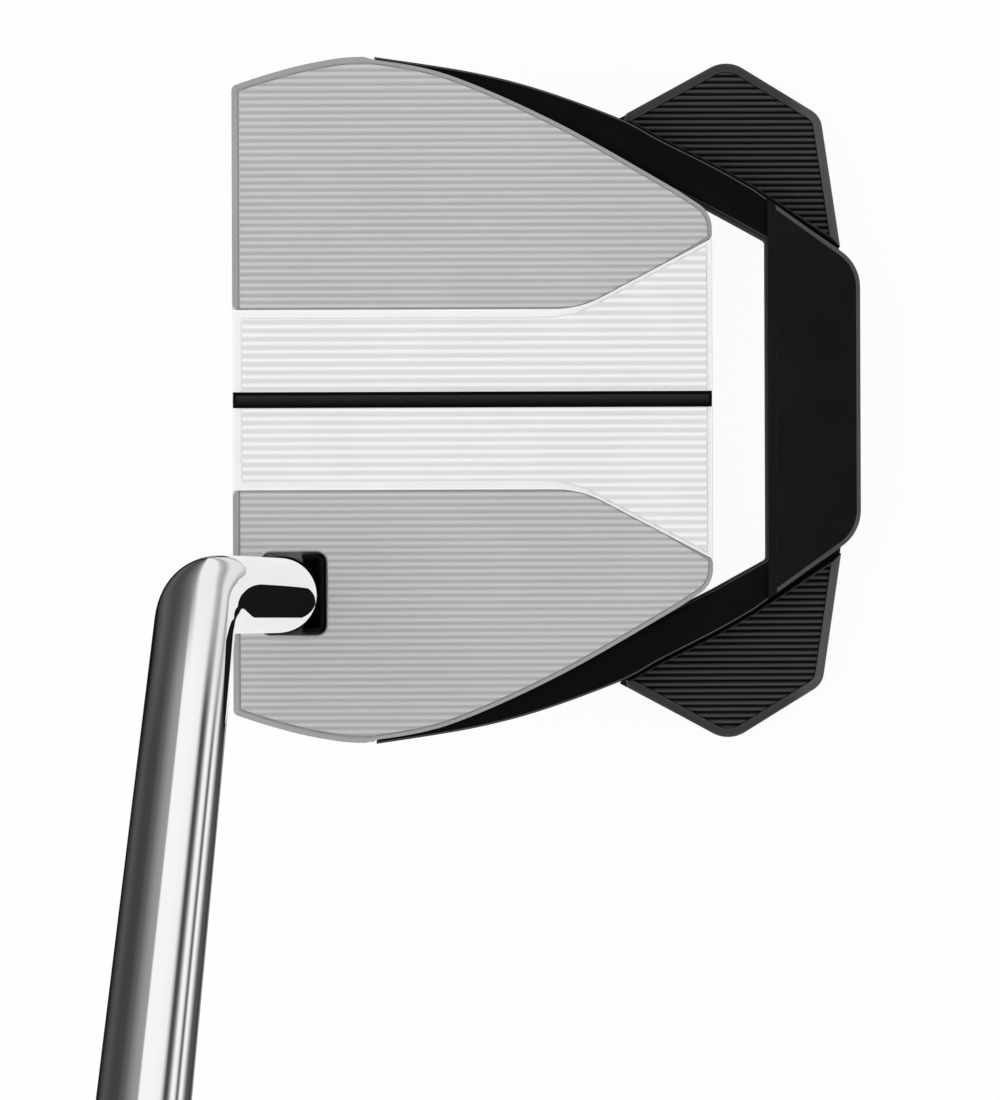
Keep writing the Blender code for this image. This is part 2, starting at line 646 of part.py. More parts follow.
def build_damping_core():
    """Elastomer pad that lies on the sole plate inside the front body's cavity."""
    base = SOLE_THICK + GAP
    prism("damping_core", offset(cavity_outline(), CORE_FIT), base, base + CORE_HEIGHT, FOAM)


# ---- shaft and grip ----------------------------------------------------------------------------------

def shaft_direction():
    return Vector((0.0, -math.cos(LIE), math.sin(LIE)))


def shaft_butt():
    corner = Vector(CORNER)
    along = (CLUB_LENGTH * math.sin(LIE) - corner.z) / math.sin(LIE)
    return corner + shaft_direction() * along


def shaft_stations():
    """(centre, tangent, outer radius) along the shaft from tip to butt."""
    tip = Vector((*SHAFT_AT, SHAFT_TIP_Z))
    first = Vector((*SHAFT_AT, FIRST_BEND_Z))
    corner = Vector(CORNER)
    butt = shaft_butt()
    low_bend = [Vector(p) for p in fillet(tip, first, corner, FIRST_BEND_RADIUS, 5)]
    high_bend = [Vector(p) for p in fillet(first, corner, butt, CORNER_RADIUS, 10)]
    parallel = corner + shaft_direction() * SHAFT_TAPER_START
    points = [tip, *low_bend, *high_bend, parallel, butt]
    total = (butt - parallel).length
    made = []
    for index, point in enumerate(points):
        before = points[max(index - 1, 0)]
        after = points[min(index + 1, len(points) - 1)]
        tangent = ((point - before).normalized() + (after - point).normalized()).normalized()
        if point.z <= corner.z:
            share = max(0.0, (point.z - POCKET_FLOOR) / (corner.z - POCKET_FLOOR))
            radius = SHAFT_RADIUS_TIP + (SHAFT_RADIUS_BEND - SHAFT_RADIUS_TIP) * share
        else:
            beyond = max(0.0, (point - parallel).dot(shaft_direction())) / total
            radius = SHAFT_RADIUS_BEND + (SHAFT_RADIUS_BUTT - SHAFT_RADIUS_BEND) * beyond
        made.append((point, tangent, radius))
    return made


def swept_rings(bm, stations, sides, shrink=0.0):
    """Rings of vertices square to the path, each turned as little as possible from the one before."""
    side = Vector((0.0, 1.0, 0.0))
    rings = []
    for centre, tangent, radius in stations:
        side = (side - tangent * side.dot(tangent)).normalized()
        across = tangent.cross(side)
        ring = []
        for k in range(sides):
            angle = 2 * math.pi * k / sides
            spot = centre + (side * math.cos(angle) + across * math.sin(angle)) * (radius - shrink)
            ring.append(bm.verts.new(spot * MM))
        rings.append(ring)
    return rings


def bridge(bm, low, high):
    for k in range(len(low)):
        bm.faces.new((low[k - 1], low[k], high[k], high[k - 1]))


def tube(name, stations, wall, sides, look):
    """A tube along the stations, open at both ends."""
    bm = bmesh.new()
    outer = swept_rings(bm, stations, sides)
    inner = swept_rings(bm, stations, sides, wall)
    for rings in (outer, inner):
        for low, high in zip(rings, rings[1:]):
            bridge(bm, low, high)
    bridge(bm, outer[0], inner[0])
    bridge(bm, outer[-1], inner[-1])
    made = mesh_object(name, bm, look)
    finish_smooth(made)
    return made


def shaft_radius_at(from_butt):
    """Shaft radius at a distance down from the butt, within the tapered part."""
    corner = Vector(CORNER)
    tapered = (shaft_butt() - corner).length - SHAFT_TAPER_START
    return SHAFT_RADIUS_BUTT - (SHAFT_RADIUS_BUTT - SHAFT_RADIUS_BEND) * from_butt / tapered


def grip_layer(name, inset, thickness, look, swell=None, sides=SHAFT_SIDES):
    """One sleeve round the butt end; swell(share) adds to its outer radius from mouth (0) to butt (1)."""
    direction = shaft_direction()
    butt = shaft_butt()
    bm = bmesh.new()
    steps = 1 if swell is None else 10
    outer_stations = []
    inner_stations = []
    for step in range(steps + 1):
        share = step / steps
        from_butt = GRIP_LENGTH * (1 - share)
        centre = butt - direction * from_butt
        inside = shaft_radius_at(from_butt) + inset
        outside = inside + thickness + (swell(share) if swell else 0.0)
        inner_stations.append((centre, direction, inside))
        outer_stations.append((centre, direction, outside))
    outer = swept_rings(bm, outer_stations, sides)
    inner = swept_rings(bm, inner_stations, sides)
    for rings in (outer, inner):
        for low, high in zip(rings, rings[1:]):
            bridge(bm, low, high)
    bridge(bm, outer[0], inner[0])
    bridge(bm, outer[-1], inner[-1])
    made = mesh_object(name, bm, look)
    finish_smooth(made)
    return made


def grip_swell(share):
    """A pistol shape: slim at the mouth, full towards the butt, with a slight waist under it."""
    return 1.6 * share + 0.9 * math.sin(math.pi * share) ** 2


def build_grip():
    slip = 0.05
    tape_in = slip
    under_in = tape_in + TAPE_THICK + slip
    skin_in = under_in + UNDERLIST_THICK + slip
    grip_layer("grip_tape", tape_in, TAPE_THICK, TAPE)
    grip_layer("grip_underlisting", under_in, UNDERLIST_THICK, FOAM)
    grip_layer("grip_sleeve", skin_in, GRIP_SKIN, RUBBER, grip_swell)
    radius = SHAFT_RADIUS_BUTT + skin_in + GRIP_SKIN + grip_swell(1.0)
    vent = 1.2
    profile = [(vent, GAP), (radius - 0.1, GAP), (radius - 0.1, CAP_THICK - 1.6),
               (radius - 1.5, CAP_THICK - 0.2), (radius - 2.2, CAP_THICK), (vent, CAP_THICK), (vent, GAP)]
    bm = bmesh.new()
    rings = [[bm.verts.new((x * MM, y * MM, z * MM)) for x, y in circle((0, 0), r, SHAFT_SIDES)]
             for r, z in profile[:-1]]
    for index in range(len(rings)):
        bridge(bm, rings[index - 1], rings[index])
    cap = mesh_object("grip_end_cap", bm, RUBBER)
    cap.matrix_world = Matrix.Translation(shaft_butt() * MM) @ \
        shaft_direction().to_track_quat("Z", "Y").to_matrix().to_4x4()
    finish_smooth(cap)


def main():
    clear_scene()
    build_front_body()
    build_insert()
    build_crown()
    build_channel()
    build_ring()
    for side, sign in (("toe", 1), ("heel", -1)):
        build_wing(side, sign)
        build_weight(side, sign)
    build_sole()
    for label, place in both_sides(RING_SCREWS):
        build_screw(f"ring_screw_{label}", place, BODY_BOTTOM, RING_SCREW_LENGTH)
    for label, place in both_sides(WING_SCREWS):
        build_screw(f"wing_screw_{label}", place, WING_BOTTOM, WING_SCREW_LENGTH)
    build_socket_liner()
    build_damping_core()
    tube("shaft", shaft_stations(), SHAFT_WALL, SHAFT_SIDES, CHROME)
    build_grip()


main()
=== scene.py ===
"""Mallet putter: the looks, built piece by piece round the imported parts, from the body up to the grip."""

import math

import bmesh
import bpy
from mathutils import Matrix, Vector


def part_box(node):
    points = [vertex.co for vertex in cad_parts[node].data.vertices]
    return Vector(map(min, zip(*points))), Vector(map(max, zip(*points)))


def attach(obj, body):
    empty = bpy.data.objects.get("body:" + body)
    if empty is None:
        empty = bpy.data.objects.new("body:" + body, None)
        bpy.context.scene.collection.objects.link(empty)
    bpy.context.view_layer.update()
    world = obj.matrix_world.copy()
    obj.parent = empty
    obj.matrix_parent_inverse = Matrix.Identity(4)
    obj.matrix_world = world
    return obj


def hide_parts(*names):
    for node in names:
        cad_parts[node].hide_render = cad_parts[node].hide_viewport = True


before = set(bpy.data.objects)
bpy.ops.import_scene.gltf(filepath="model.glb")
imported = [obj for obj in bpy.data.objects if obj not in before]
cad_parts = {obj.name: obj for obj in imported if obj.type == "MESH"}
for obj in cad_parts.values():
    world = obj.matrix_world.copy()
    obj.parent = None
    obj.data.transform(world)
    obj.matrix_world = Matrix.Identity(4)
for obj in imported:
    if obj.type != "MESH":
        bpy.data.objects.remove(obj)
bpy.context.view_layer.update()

# ---- view --------------------------------------------------------------------------------------------
# The club stands on its sole and is looked at from straight above, about a metre up and a little
# to the heel side of the head, square to the face.
view = bpy.data.cameras.new("overhead_view")
view.lens = 241.46
view.sensor_width = 36.0
view.clip_start = 0.01
overhead = bpy.data.objects.new("overhead_view", view)
overhead.location = (0.003685, -0.020415, 1.0245)
overhead.rotation_euler = (0.0, 0.0, math.radians(-0.2))
bpy.context.scene.collection.objects.link(overhead)
bpy.context.scene.camera = overhead
bpy.context.scene.view_settings.view_transform = "Standard"

# ---- front body --------------------------------------------------------------------------------------
# One milled aluminium block under the crown: face, side walls and the shelves that carry the ring's arms.
# It is bead blasted and anodised grey, with every edge lightly broken.
MM = 0.001


class Flow:
    """A value, colour or direction on its way through a finish; arithmetic on it adds the nodes."""

    def __init__(self, tree, socket):
        self.tree = tree
        self.socket = socket

    def via(self, kind, *values, take=0, **settings):
        """Any other node: values fill its open sockets in order, settings are its own choices."""
        node = self.tree.nodes.new(kind)
        for name, value in settings.items():
            setattr(node, name, value)
        for socket, value in zip([s for s in node.inputs if not s.is_unavailable], values):
            if isinstance(value, Flow):
                self.tree.links.new(value.socket, socket)
            elif value is not None:
                socket.default_value = value
        return Flow(self.tree, [s for s in node.outputs if not s.is_unavailable][take])

    def reckon(self, operation, first, second):
        if any(isinstance(part, Flow) and part.socket.type == "VECTOR" for part in (first, second)):
            pair = [(part,) * 3 if isinstance(part, (int, float)) else part for part in (first, second)]
            return self.via("ShaderNodeVectorMath", *pair, operation=operation)
        return self.via("ShaderNodeMath", first, second, operation=operation)

    def __add__(self, other):
        return self.reckon("ADD", self, other)

    def __radd__(self, other):
        return self.reckon("ADD", other, self)

    def __sub__(self, other):
        return self.reckon("SUBTRACT", self, other)

    def __rsub__(self, other):
        return self.reckon("SUBTRACT", other, self)

    def __mul__(self, other):
        return self.reckon("MULTIPLY", self, other)

    def __rmul__(self, other):
        return self.reckon("MULTIPLY", other, self)

    def __truediv__(self, other):
        return self.reckon("DIVIDE", self, other)

    def __rtruediv__(self, other):
        return self.reckon("DIVIDE", other, self)

    def ramp(self, start, end):
        """0 up to start, 1 from end on, and a smooth rise between."""
        return self.via("ShaderNodeMapRange", self, float(start), float(end), 0.0, 1.0,
                        interpolation_type="SMOOTHSTEP")

    def between(self, first, second):
        """The first colour where this is 0, the second where it is 1."""
        pair = [(*c, 1.0) if isinstance(c, tuple) else c for c in (first, second)]
        return self.via("ShaderNodeMix", self, *pair, data_type="RGBA")

    def along(self, axis):
        return self.via("ShaderNodeSeparateXYZ", self, take="xyz".index(axis))

    def speckle(self, size, detail=2.0):
        """Soft random spots about size millimetres across."""
        return self.via("ShaderNodeTexNoise", self, 1.0 / (size * MM), detail, 0.5)


def finish(name, colour, roughness, metallic=0.0, **fixed):
    """A finish with its plain values, the shader and the place on the object, ready for more."""
    made = bpy.data.materials.new(name)
    made.use_nodes = True
    tree = made.node_tree
    shader = tree.nodes["Principled BSDF"]
    shader.inputs["Base Color"].default_value = (*colour, 1.0)
    shader.inputs["Roughness"].default_value = roughness
    shader.inputs["Metallic"].default_value = metallic
    for socket, value in fixed.items():
        shader.inputs[socket.replace("_", " ")].default_value = value
    spot = tree.nodes.new("ShaderNodeTexCoord")
    return made, shader, Flow(tree, spot.outputs["Object"])


def into(shader, socket, flow):
    flow.tree.links.new(flow.socket, shader.inputs[socket])


def relief(shader, height, depth):
    """Raises and sinks the surface by up to depth millimetres."""
    bump = height.via("ShaderNodeBump", 1.0, depth * MM, None, height)
    into(shader, "Normal", bump)


def blasted(name, colour, roughness, metallic, grain=0.02, spread=0.03, **fixed):
    """Bead-blasted, anodised or coated metal: fine pits, and a tone that drifts a little."""
    made, shader, spot = finish(name, colour, roughness, metallic, **fixed)
    darker = tuple(c * (1.0 - spread) for c in colour)
    lighter = tuple(c * (1.0 + spread) for c in colour)
    into(shader, "Base Color", spot.speckle(9.0).ramp(0.3, 0.7).between(darker, lighter))
    pits = spot.speckle(0.22, 3.0)
    into(shader, "Roughness", roughness - 0.05 + pits * 0.1)
    relief(shader, pits, grain)
    return made


def show(name, mesh, finishes):
    made = bpy.data.objects.new(name, mesh)
    bpy.context.scene.collection.objects.link(made)
    for item in finishes:
        mesh.materials.append(item)
    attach(made, "root")
    return made


def eased(node, width, finishes, steps=2, sharp=28.0, bridges=()):
    """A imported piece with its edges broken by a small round; the last finish is for those edges.
    Bridges are thin strips of wall, as (outline, low, high), that close a gap in it."""
    bm = bmesh.new()
    bm.from_mesh(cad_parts[node].data)
    bmesh.ops.remove_doubles(bm, verts=bm.verts, dist=1e-6)
    bmesh.ops.dissolve_limit(bm, angle_limit=math.radians(1.0), verts=bm.verts, edges=bm.edges)
    corners = [edge for edge in bm.edges if math.degrees(edge.calc_face_angle(0.0)) > sharp]
    for face in bm.faces:
        face.material_index = 0
        face.smooth = True
    bmesh.ops.bevel(bm, geom=corners, offset=width * MM, segments=steps, profile=0.5, affect="EDGES",
                    material=len(finishes) - 1, clamp_overlap=True)
    low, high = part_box(node)
    for vertex in bm.verts:
        vertex.co = [min(max(at, least), most) for at, least, most in zip(vertex.co, low, high)]
    for outline, bottom, top in bridges:
        ends = [[bm.verts.new((x * MM, y * MM, z * MM)) for x, y in outline] for z in (bottom, top)]
        strip = [bm.faces.new((ends[0][k - 1], ends[0][k], ends[1][k], ends[1][k - 1]))
                 for k in range(len(outline))]
        strip += [bm.faces.new(end) for end in ends]
        bmesh.ops.recalc_face_normals(bm, faces=strip)
    mesh = bpy.data.meshes.new(f"{node}_eased")
    bm.to_mesh(mesh)
    bm.free()
    mesh.set_sharp_from_angle(angle=math.radians(40.0))
    made = show(f"{node}_eased", mesh, finishes)
    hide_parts(node)
    return made


body_grey = blasted("anodised_grey_body", (0.40, 0.40, 0.405), 0.42, 0.7)
# The edge finish is a lighter copy of the body's grey: a painted highlight on the broken edges.
body_edge_highlight = blasted("anodised_grey_edge_highlight", (0.52, 0.52, 0.525), 0.36, 0.7)
thin_wall = [(12.31, 40.96), (13.38, 40.578), (13.34, 40.465), (12.27, 40.847)]
eased("front_body", 0.09, [body_grey, body_edge_highlight],
      bridges=[([(x, y * sign) for x, y in thin_wall], 0.52, 2.9) for sign in (1, -1)])

# ---- sole plate and its screws -----------------------------------------------------------------------
# A brushed stainless plate, four countersunk screws through it into the body. The brush lines run
# from face to rear.
SOLE_TONE = (0.50, 0.50, 0.51)


def brushed(name, colour, roughness, stretch):
    """Brushed metal, with scratches drawn out along the axis that stretch makes long."""
    made, shader, spot = finish(name, colour, roughness, 1.0)
    strokes = (spot * stretch).speckle(1.0, 4.0)
    darker = tuple(c * 0.86 for c in colour)
    into(shader, "Base Color", strokes.ramp(0.3, 0.7).between(darker, colour))
    into(shader, "Roughness", roughness - 0.06 + strokes * 0.14)
    relief(shader, strokes, 0.012)
    return made


sole_brushed = brushed("sole_brushed_steel", SOLE_TONE, 0.32, (0.04, 4.0, 4.0))
# The edge finish is a lighter copy of the plate's steel: a painted highlight on its rounded edges.
sole_edge_highlight = brushed("sole_steel_highlight", (0.62, 0.62, 0.63), 0.25, (0.04, 4.0, 4.0))
eased("sole_plate", 0.2, [sole_brushed, sole_edge_highlight])

screw_steel = brushed("screw_steel", (0.42, 0.42, 0.43), 0.28, (3.0, 3.0, 3.0))
# The edge finish, also used on the weights, is a lighter copy of the screw steel: a painted highlight on the
# edges.
screw_edge_highlight = brushed("screw_steel_highlight", (0.6, 0.6, 0.61), 0.22, (3.0, 3.0, 3.0))
SIDES = ("toe_1", "toe_2", "heel_1", "heel_2")
for label in SIDES:
    eased(f"sole_screw_{label}", 0.08, [screw_steel, screw_edge_highlight], sharp=40.0)

# ---- face insert, pad and damping core ---------------------------------------------------------------
# A pale grooved polymer insert is bonded into the face on a thin foam pad; a soft core fills the
# cavity behind it, over the sole plate.
insert_pale, insert_shader, spot = finish("insert_polymer", (0.78, 0.79, 0.80), 0.48)
insert_mottle = spot.speckle(0.5, 3.0)
into(insert_shader, "Base Color",
     insert_mottle.ramp(0.3, 0.7).between((0.75, 0.76, 0.775), (0.80, 0.81, 0.82)))
into(insert_shader, "Roughness", 0.42 + insert_mottle * 0.12)
relief(insert_shader, insert_mottle, 0.015)
# The insert's edges get a lighter copy of its polymer: a painted highlight.
insert_edge_highlight = finish("insert_polymer_highlight", (0.84, 0.85, 0.86), 0.42)[0]
eased("face_insert", 0.06, [insert_pale, insert_edge_highlight])


def foamed(name, colour, cell):
    made, shader, spot = finish(name, colour, 0.85)
    cells = spot.via("ShaderNodeTexVoronoi", spot, 1.0 / (cell * MM))
    lighter = tuple(c * 1.5 for c in colour)
    into(shader, "Base Color", cells.ramp(0.1, 0.7).between(colour, lighter))
    relief(shader, cells, 0.08)
    return made


pad_foam = foamed("bonding_foam", (0.09, 0.10, 0.11), 0.35)
core_foam = foamed("core_elastomer", (0.05, 0.055, 0.06), 0.6)
for node, item in (("insert_pad", pad_foam), ("damping_core", core_foam)):
    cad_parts[node].data.materials.clear()
    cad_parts[node].data.materials.append(item)

# ---- crown plates ------------------------------------------------------------------------------------
# Two aluminium plates bonded on the body, one each side of the white channel. Each has a bevelled
# border and a field of fine straight ribs that run from face to rear; the heel plate holds the
# square shaft pocket.
CROWN_TOP = 25.0
CROWN_UNDER = 21.1
FACE_X = -32.5
CROWN_REAR = 32.55
HALF_WIDTH = 46.5
CHANNEL_HALF = 12.3
CHANNEL_FLARE_X = 14.6
CHANNEL_REAR_HALF = 21.8
FLARE_RADIUS = 13.5
RIB_HEIGHT = 0.16
RIBS = {"toe": (0.9539, 38.5), "heel": (0.9446, -13.78)}


def smooth_curve(points, steps):
    padded = [points[0], *points, points[-1]]
    made = []
    for index in range(1, len(padded) - 2):
        before, start, end, after = (Vector(p) for p in padded[index - 1:index + 3])
        for step in range(steps):
            t = step / steps
            made.append(tuple(0.5 * (2 * start + (end - before) * t
                                     + (2 * before - 5 * start + 4 * end - after) * t * t
                                     + (3 * start - before - 3 * end + after) * t ** 3)))
    made.append(points[-1])
    return made


def fillet(before, corner, after, radius, steps=10):
    corner = Vector(corner)
    back = (Vector(before) - corner).normalized()
    ahead = (Vector(after) - corner).normalized()
    half = back.angle(ahead) / 2
    centre = corner + (back + ahead).normalized() * radius / math.sin(half)
    first = corner + back * radius / math.tan(half) - centre
    last = corner + ahead * radius / math.tan(half) - centre
    turn = first.angle(last)
    return [tuple(centre + (first * math.sin((1 - k / steps) * turn)
                            + last * math.sin(k / steps * turn)) / math.sin(turn))
            for k in range(steps + 1)]


def mirrored(points):
    return [(x, -y) for x, y in reversed(points)]


def offset(outline, distance, shares=None):
    """A counter-clockwise outline moved inwards, each edge by its share; edges that shrink to
    nothing drop out."""
    points = [Vector(point) for point in outline]
    count = len(points)
    shares = shares or [1.0] * count
    runs = [(points[(k + 1) % count] - points[k]).normalized() for k in range(count)]
    moved = [points[k] + Vector((-runs[k].y, runs[k].x)) * distance * shares[k] for k in range(count)]
    kept = list(range(count))
    while True:
        spots = {}
        for before, after in zip(kept[-1:] + kept[:-1], kept):
            turn = runs[before].cross(runs[after])
            spots[after] = moved[after]
            if abs(turn) > 0.0001:
                reach = (moved[after] - moved[before]).cross(runs[after]) / turn
                spots[after] = moved[before] + runs[before] * reach
        gone = [edge for edge, following in zip(kept, kept[1:] + kept[:1])
                if (spots[following] - spots[edge]).dot(runs[edge]) <= 0.0]
        if not gone:
            break
        kept = [edge for edge in kept if edge not in gone]
    return [tuple(spots[next((edge for edge in kept if edge >= k), kept[0])]) for k in range(count)]


def stepped(outline, low, layers, foot=0.0, shares=None):
    """A solid whose upper side steps through (inset, height, finish number) layers; foot rounds off
    its lower edge."""
    bm = bmesh.new()
    levels = [(foot, low, 0), (0.0, low + foot, 0)] if foot else [(0.0, low, 0)]
    rings = []
    for inset, height, kind in [*levels, *layers]:
        edge = inset if isinstance(inset, list) else offset(outline, inset, shares) if inset else outline
        rings.append(([bm.verts.new((x * MM, y * MM, height * MM)) for x, y in edge], kind))
    for (below, _), (above, kind) in zip(rings, rings[1:]):
        for k in range(len(below)):
            bm.faces.new((below[k - 1], below[k], above[k], above[k - 1])).material_index = kind
    bm.faces.new(rings[0][0])
    bm.faces.new(rings[-1][0]).material_index = rings[-1][1]
    bmesh.ops.remove_doubles(bm, verts=bm.verts, dist=1e-7)
    bmesh.ops.recalc_face_normals(bm, faces=bm.faces)
    return bm


def loose(bm):
    """A work piece that only lives until it has been cut or joined."""
    mesh = bpy.data.meshes.new("work_piece")
    bm.to_mesh(mesh)
    bm.free()
    made = bpy.data.objects.new("work_piece", mesh)
    bpy.context.scene.collection.objects.link(made)
    return made


def carved(target, tool, operation):
    change = target.modifiers.new("carve", "BOOLEAN")
    change.operation = operation
    change.object = tool
    change.solver = "EXACT"
    mesh = bpy.data.meshes.new_from_object(target.evaluated_get(bpy.context.evaluated_depsgraph_get()))
    target.modifiers.clear()
    target.data = mesh
    bpy.data.objects.remove(tool)
    return target


def rib_field(outline, pitch, peak_y, root, low, high, kind):
    """Rounded ribs along X, cut to an outline: valleys at low, tops at high, on a block down to root."""
    y_values = [y for x, y in outline]
    x_values = [x for x, y in outline]
    start = math.floor((min(y_values) - peak_y) / pitch) - 1
    count = math.ceil((max(y_values) - min(y_values)) / pitch) + 3
    share = (0.0, 0.14, 0.32, 0.5, 0.68, 0.86)
    section = []
    for index in range(count):
        for step in share:
            rise = 0.5 - 0.5 * math.cos(2 * math.pi * step)
            section.append((peak_y + (start + index - 0.5 + step) * pitch, low + (high - low) * rise))
    section += [(section[-1][0], root), (section[0][0], root)]
    bm = bmesh.new()
    ends = [[bm.verts.new((x * MM, y * MM, z * MM)) for y, z in section]
            for x in (min(x_values) - 2.0, max(x_values) + 2.0)]
    for k in range(len(section)):
        bm.faces.new((ends[0][k - 1], ends[0][k], ends[1][k], ends[1][k - 1]))
    bm.faces.new(ends[0])
    bm.faces.new(ends[1])
    for face in bm.faces:
        face.material_index = kind
    bmesh.ops.recalc_face_normals(bm, faces=bm.faces)
    block = loose(bm)
    limit = loose(stepped(outline, root - 1.0, [(0.0, high + 1.0, kind)]))
    return carved(block, limit, "INTERSECT")


def assembled(name, parts, finishes, nodes, angle=35.0):
    """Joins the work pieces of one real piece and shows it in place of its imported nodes."""
    bm = bmesh.new()
    for part in parts:
        bm.from_mesh(part.data)
        bpy.data.objects.remove(part)
    for face in bm.faces:
        face.smooth = True
    mesh = bpy.data.meshes.new(name)
    bm.to_mesh(mesh)
    bm.free()
    mesh.set_sharp_from_angle(angle=math.radians(angle))
    made = show(name, mesh, finishes)
    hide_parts(*nodes)
    return made


def shoulder():
    return smooth_curve([(-14.6, HALF_WIDTH), (-18.0, HALF_WIDTH - 0.2), (-23.4, HALF_WIDTH - 1.2),
                         (-28.8, HALF_WIDTH - 2.7), (FACE_X, HALF_WIDTH - 3.95)], 6)


def crown_plate_outline():
    """The toe plate in plan, and for each edge how much of the border's full width it carries."""
    rear_inner = (CROWN_REAR, CHANNEL_REAR_HALF)
    flare_start = (CHANNEL_FLARE_X, CHANNEL_HALF)
    inner = fillet((FACE_X, HALF_WIDTH), (FACE_X, CHANNEL_HALF), flare_start, 0.8, 5)
    flare = fillet((FACE_X, CHANNEL_HALF), flare_start, rear_inner, FLARE_RADIUS, 14)
    tuck = fillet(flare_start, rear_inner, (CROWN_REAR, HALF_WIDTH), 0.9)
    sweep = smooth_curve([(28.1, 28.15), (11.8, 37.4), (-3.1, 44.0), (-13.4, 46.15)], 12)
    nose = fillet(rear_inner, (CROWN_REAR, 25.2), sweep[0], 4.0, 14)
    edge = shoulder()
    front = fillet(edge[-2], edge[-1], (FACE_X, 0.0), 0.8, 5)
    runs = ((inner, 0.05), (flare, 0.05), (tuck, 0.4), (nose, 0.65), (sweep, 0.65),
            (edge[:-1], 1.0), (front, 1.0))
    return [point for run, _ in runs for point in run], [share for run, share in runs for _ in run]


def shade_painted_ribs(name, valley, top, roughness, metallic, low, high, **fixed):
    """Ribbed surface with painted shade in the valleys and painted light on the tops, and a fine blasted
    grain.
    """
    made, shader, spot = finish(name, top, roughness, metallic, **fixed)
    rise = spot.along("z").ramp(low * MM, high * MM)
    drift = spot.speckle(14.0).ramp(0.3, 0.7)
    tone = drift.between(tuple(c * 0.965 for c in valley), valley)
    crest = drift.between(tuple(c * 0.975 for c in top), top)
    into(shader, "Base Color", rise.between(tone, crest))
    grain = spot.speckle(0.2, 3.0)
    into(shader, "Roughness", roughness - 0.05 + grain * 0.1)
    relief(shader, grain, 0.012)
    return made


POCKET = ((-19.85, -31.85), (-19.85, -20.6), (-28.7, -20.6), (-28.7, -31.85))
POCKET_CORNER = 1.3
SHAFT_AT = (-26.2, -26.44)


def rounded(corners, radius, steps=8):
    made = []
    for index, corner in enumerate(corners):
        made += fillet(corners[index - 1], corner, corners[(index + 1) % len(corners)], radius, steps)
    return made


def circle(centre, radius, sides):
    return [(centre[0] + radius * math.cos(2 * math.pi * k / sides),
             centre[1] + radius * math.sin(2 * math.pi * k / sides)) for k in range(sides)]


# The crown's rib valleys are painted darker and the tops lighter: painted shade and light on the ribs.
crown_ribs_painted_shade = shade_painted_ribs("crown_ribs_painted_shade", (0.365, 0.365, 0.367), (0.525, 0.525, 0.527), 0.46, 0.15,
                         CROWN_TOP - 0.28, CROWN_TOP - 0.12)
# The bevel and the border are darker copies of the plate's grey: painted shade on their slopes.
crown_outer_shade = blasted("crown_bevel_painted_shade", (0.335, 0.335, 0.337), 0.48, 0.1)
crown_inner_shade = blasted("crown_border_painted_shade", (0.30, 0.30, 0.302), 0.48, 0.1)
# A near-white copy of the grey on the pocket's chamfer: a painted highlight round the pocket and the shaft.
crown_pocket_highlight = blasted("crown_pocket_edge_highlight", (0.82, 0.82, 0.825), 0.3, 0.1)
for side in ("toe", "heel"):
    outline, shares = crown_plate_outline()
    if side == "heel":
        outline = mirrored(outline)
        shares = [*reversed(shares[:-1]), shares[-1]]
    plate = loose(stepped(outline, CROWN_UNDER, [(0.0, CROWN_TOP - 0.37, 1), (0.5, CROWN_TOP - 0.04, 1),
                                                 (0.58, CROWN_TOP, 1), (0.68, CROWN_TOP, 2),
                                                 (1.05, CROWN_TOP - 0.3, 2), (1.08, CROWN_TOP - 0.34, 2)],
                          shares=shares))
    pitch, peak_y = RIBS[side]
    ribs = rib_field(offset(outline, 1.0, shares), pitch, peak_y, CROWN_TOP - 1.0,
                     CROWN_TOP - 0.10 - RIB_HEIGHT, CROWN_TOP - 0.10, 0)
    parts = [plate, ribs]
    if side == "heel":
        for part in parts:
            pocket = rounded(POCKET, POCKET_CORNER)
            for edge in (pocket, circle(SHAFT_AT, 5.27, 48)):
                carved(part, loose(stepped(edge, CROWN_UNDER - 1.0,
                                           [(0.0, CROWN_TOP - 0.6, 2), (-0.5, CROWN_TOP + 0.02, 3),
                                            (-0.51, CROWN_TOP + 1.0, 3)])), "DIFFERENCE")
    assembled(f"crown_{side}_ribbed", parts, [crown_ribs_painted_shade, crown_outer_shade, crown_inner_shade, crown_pocket_highlight],
              [f"crown_{side}_plate"])

# ---- alignment channel and sight line ----------------------------------------------------------------
# A white moulded strip between the plates, wider at the rear, with a sloped lip all round and its
# own coarser ribs; a black strip is pressed into a slot down its middle.
CHANNEL_SINK = 0.8
CHANNEL_LIP = 1.3
WHITE_PITCH = 1.136
LINE_HALF = 1.025

half = CHANNEL_HALF - 0.02
rear = CHANNEL_REAR_HALF - 0.03
toe_edge = [(CROWN_REAR, rear), *fillet((CROWN_REAR, rear), (CHANNEL_FLARE_X, half), (FACE_X, half),
                                        FLARE_RADIUS, 14), (FACE_X, half)]
channel_outline = [*toe_edge, *mirrored(toe_edge)]
lip_shares = [0.45 + 0.55 * max(0, k - 1) / (len(toe_edge) - 3) for k in range(len(toe_edge) - 1)]
lip_shares = [*lip_shares, 1.0, *reversed(lip_shares), 0.6]
channel_top = CROWN_TOP - 0.1
channel_floor = CROWN_TOP - CHANNEL_SINK
white_lip = blasted("white_paint", (0.90, 0.90, 0.90), 0.34, 0.0, grain=0.006, spread=0.012)
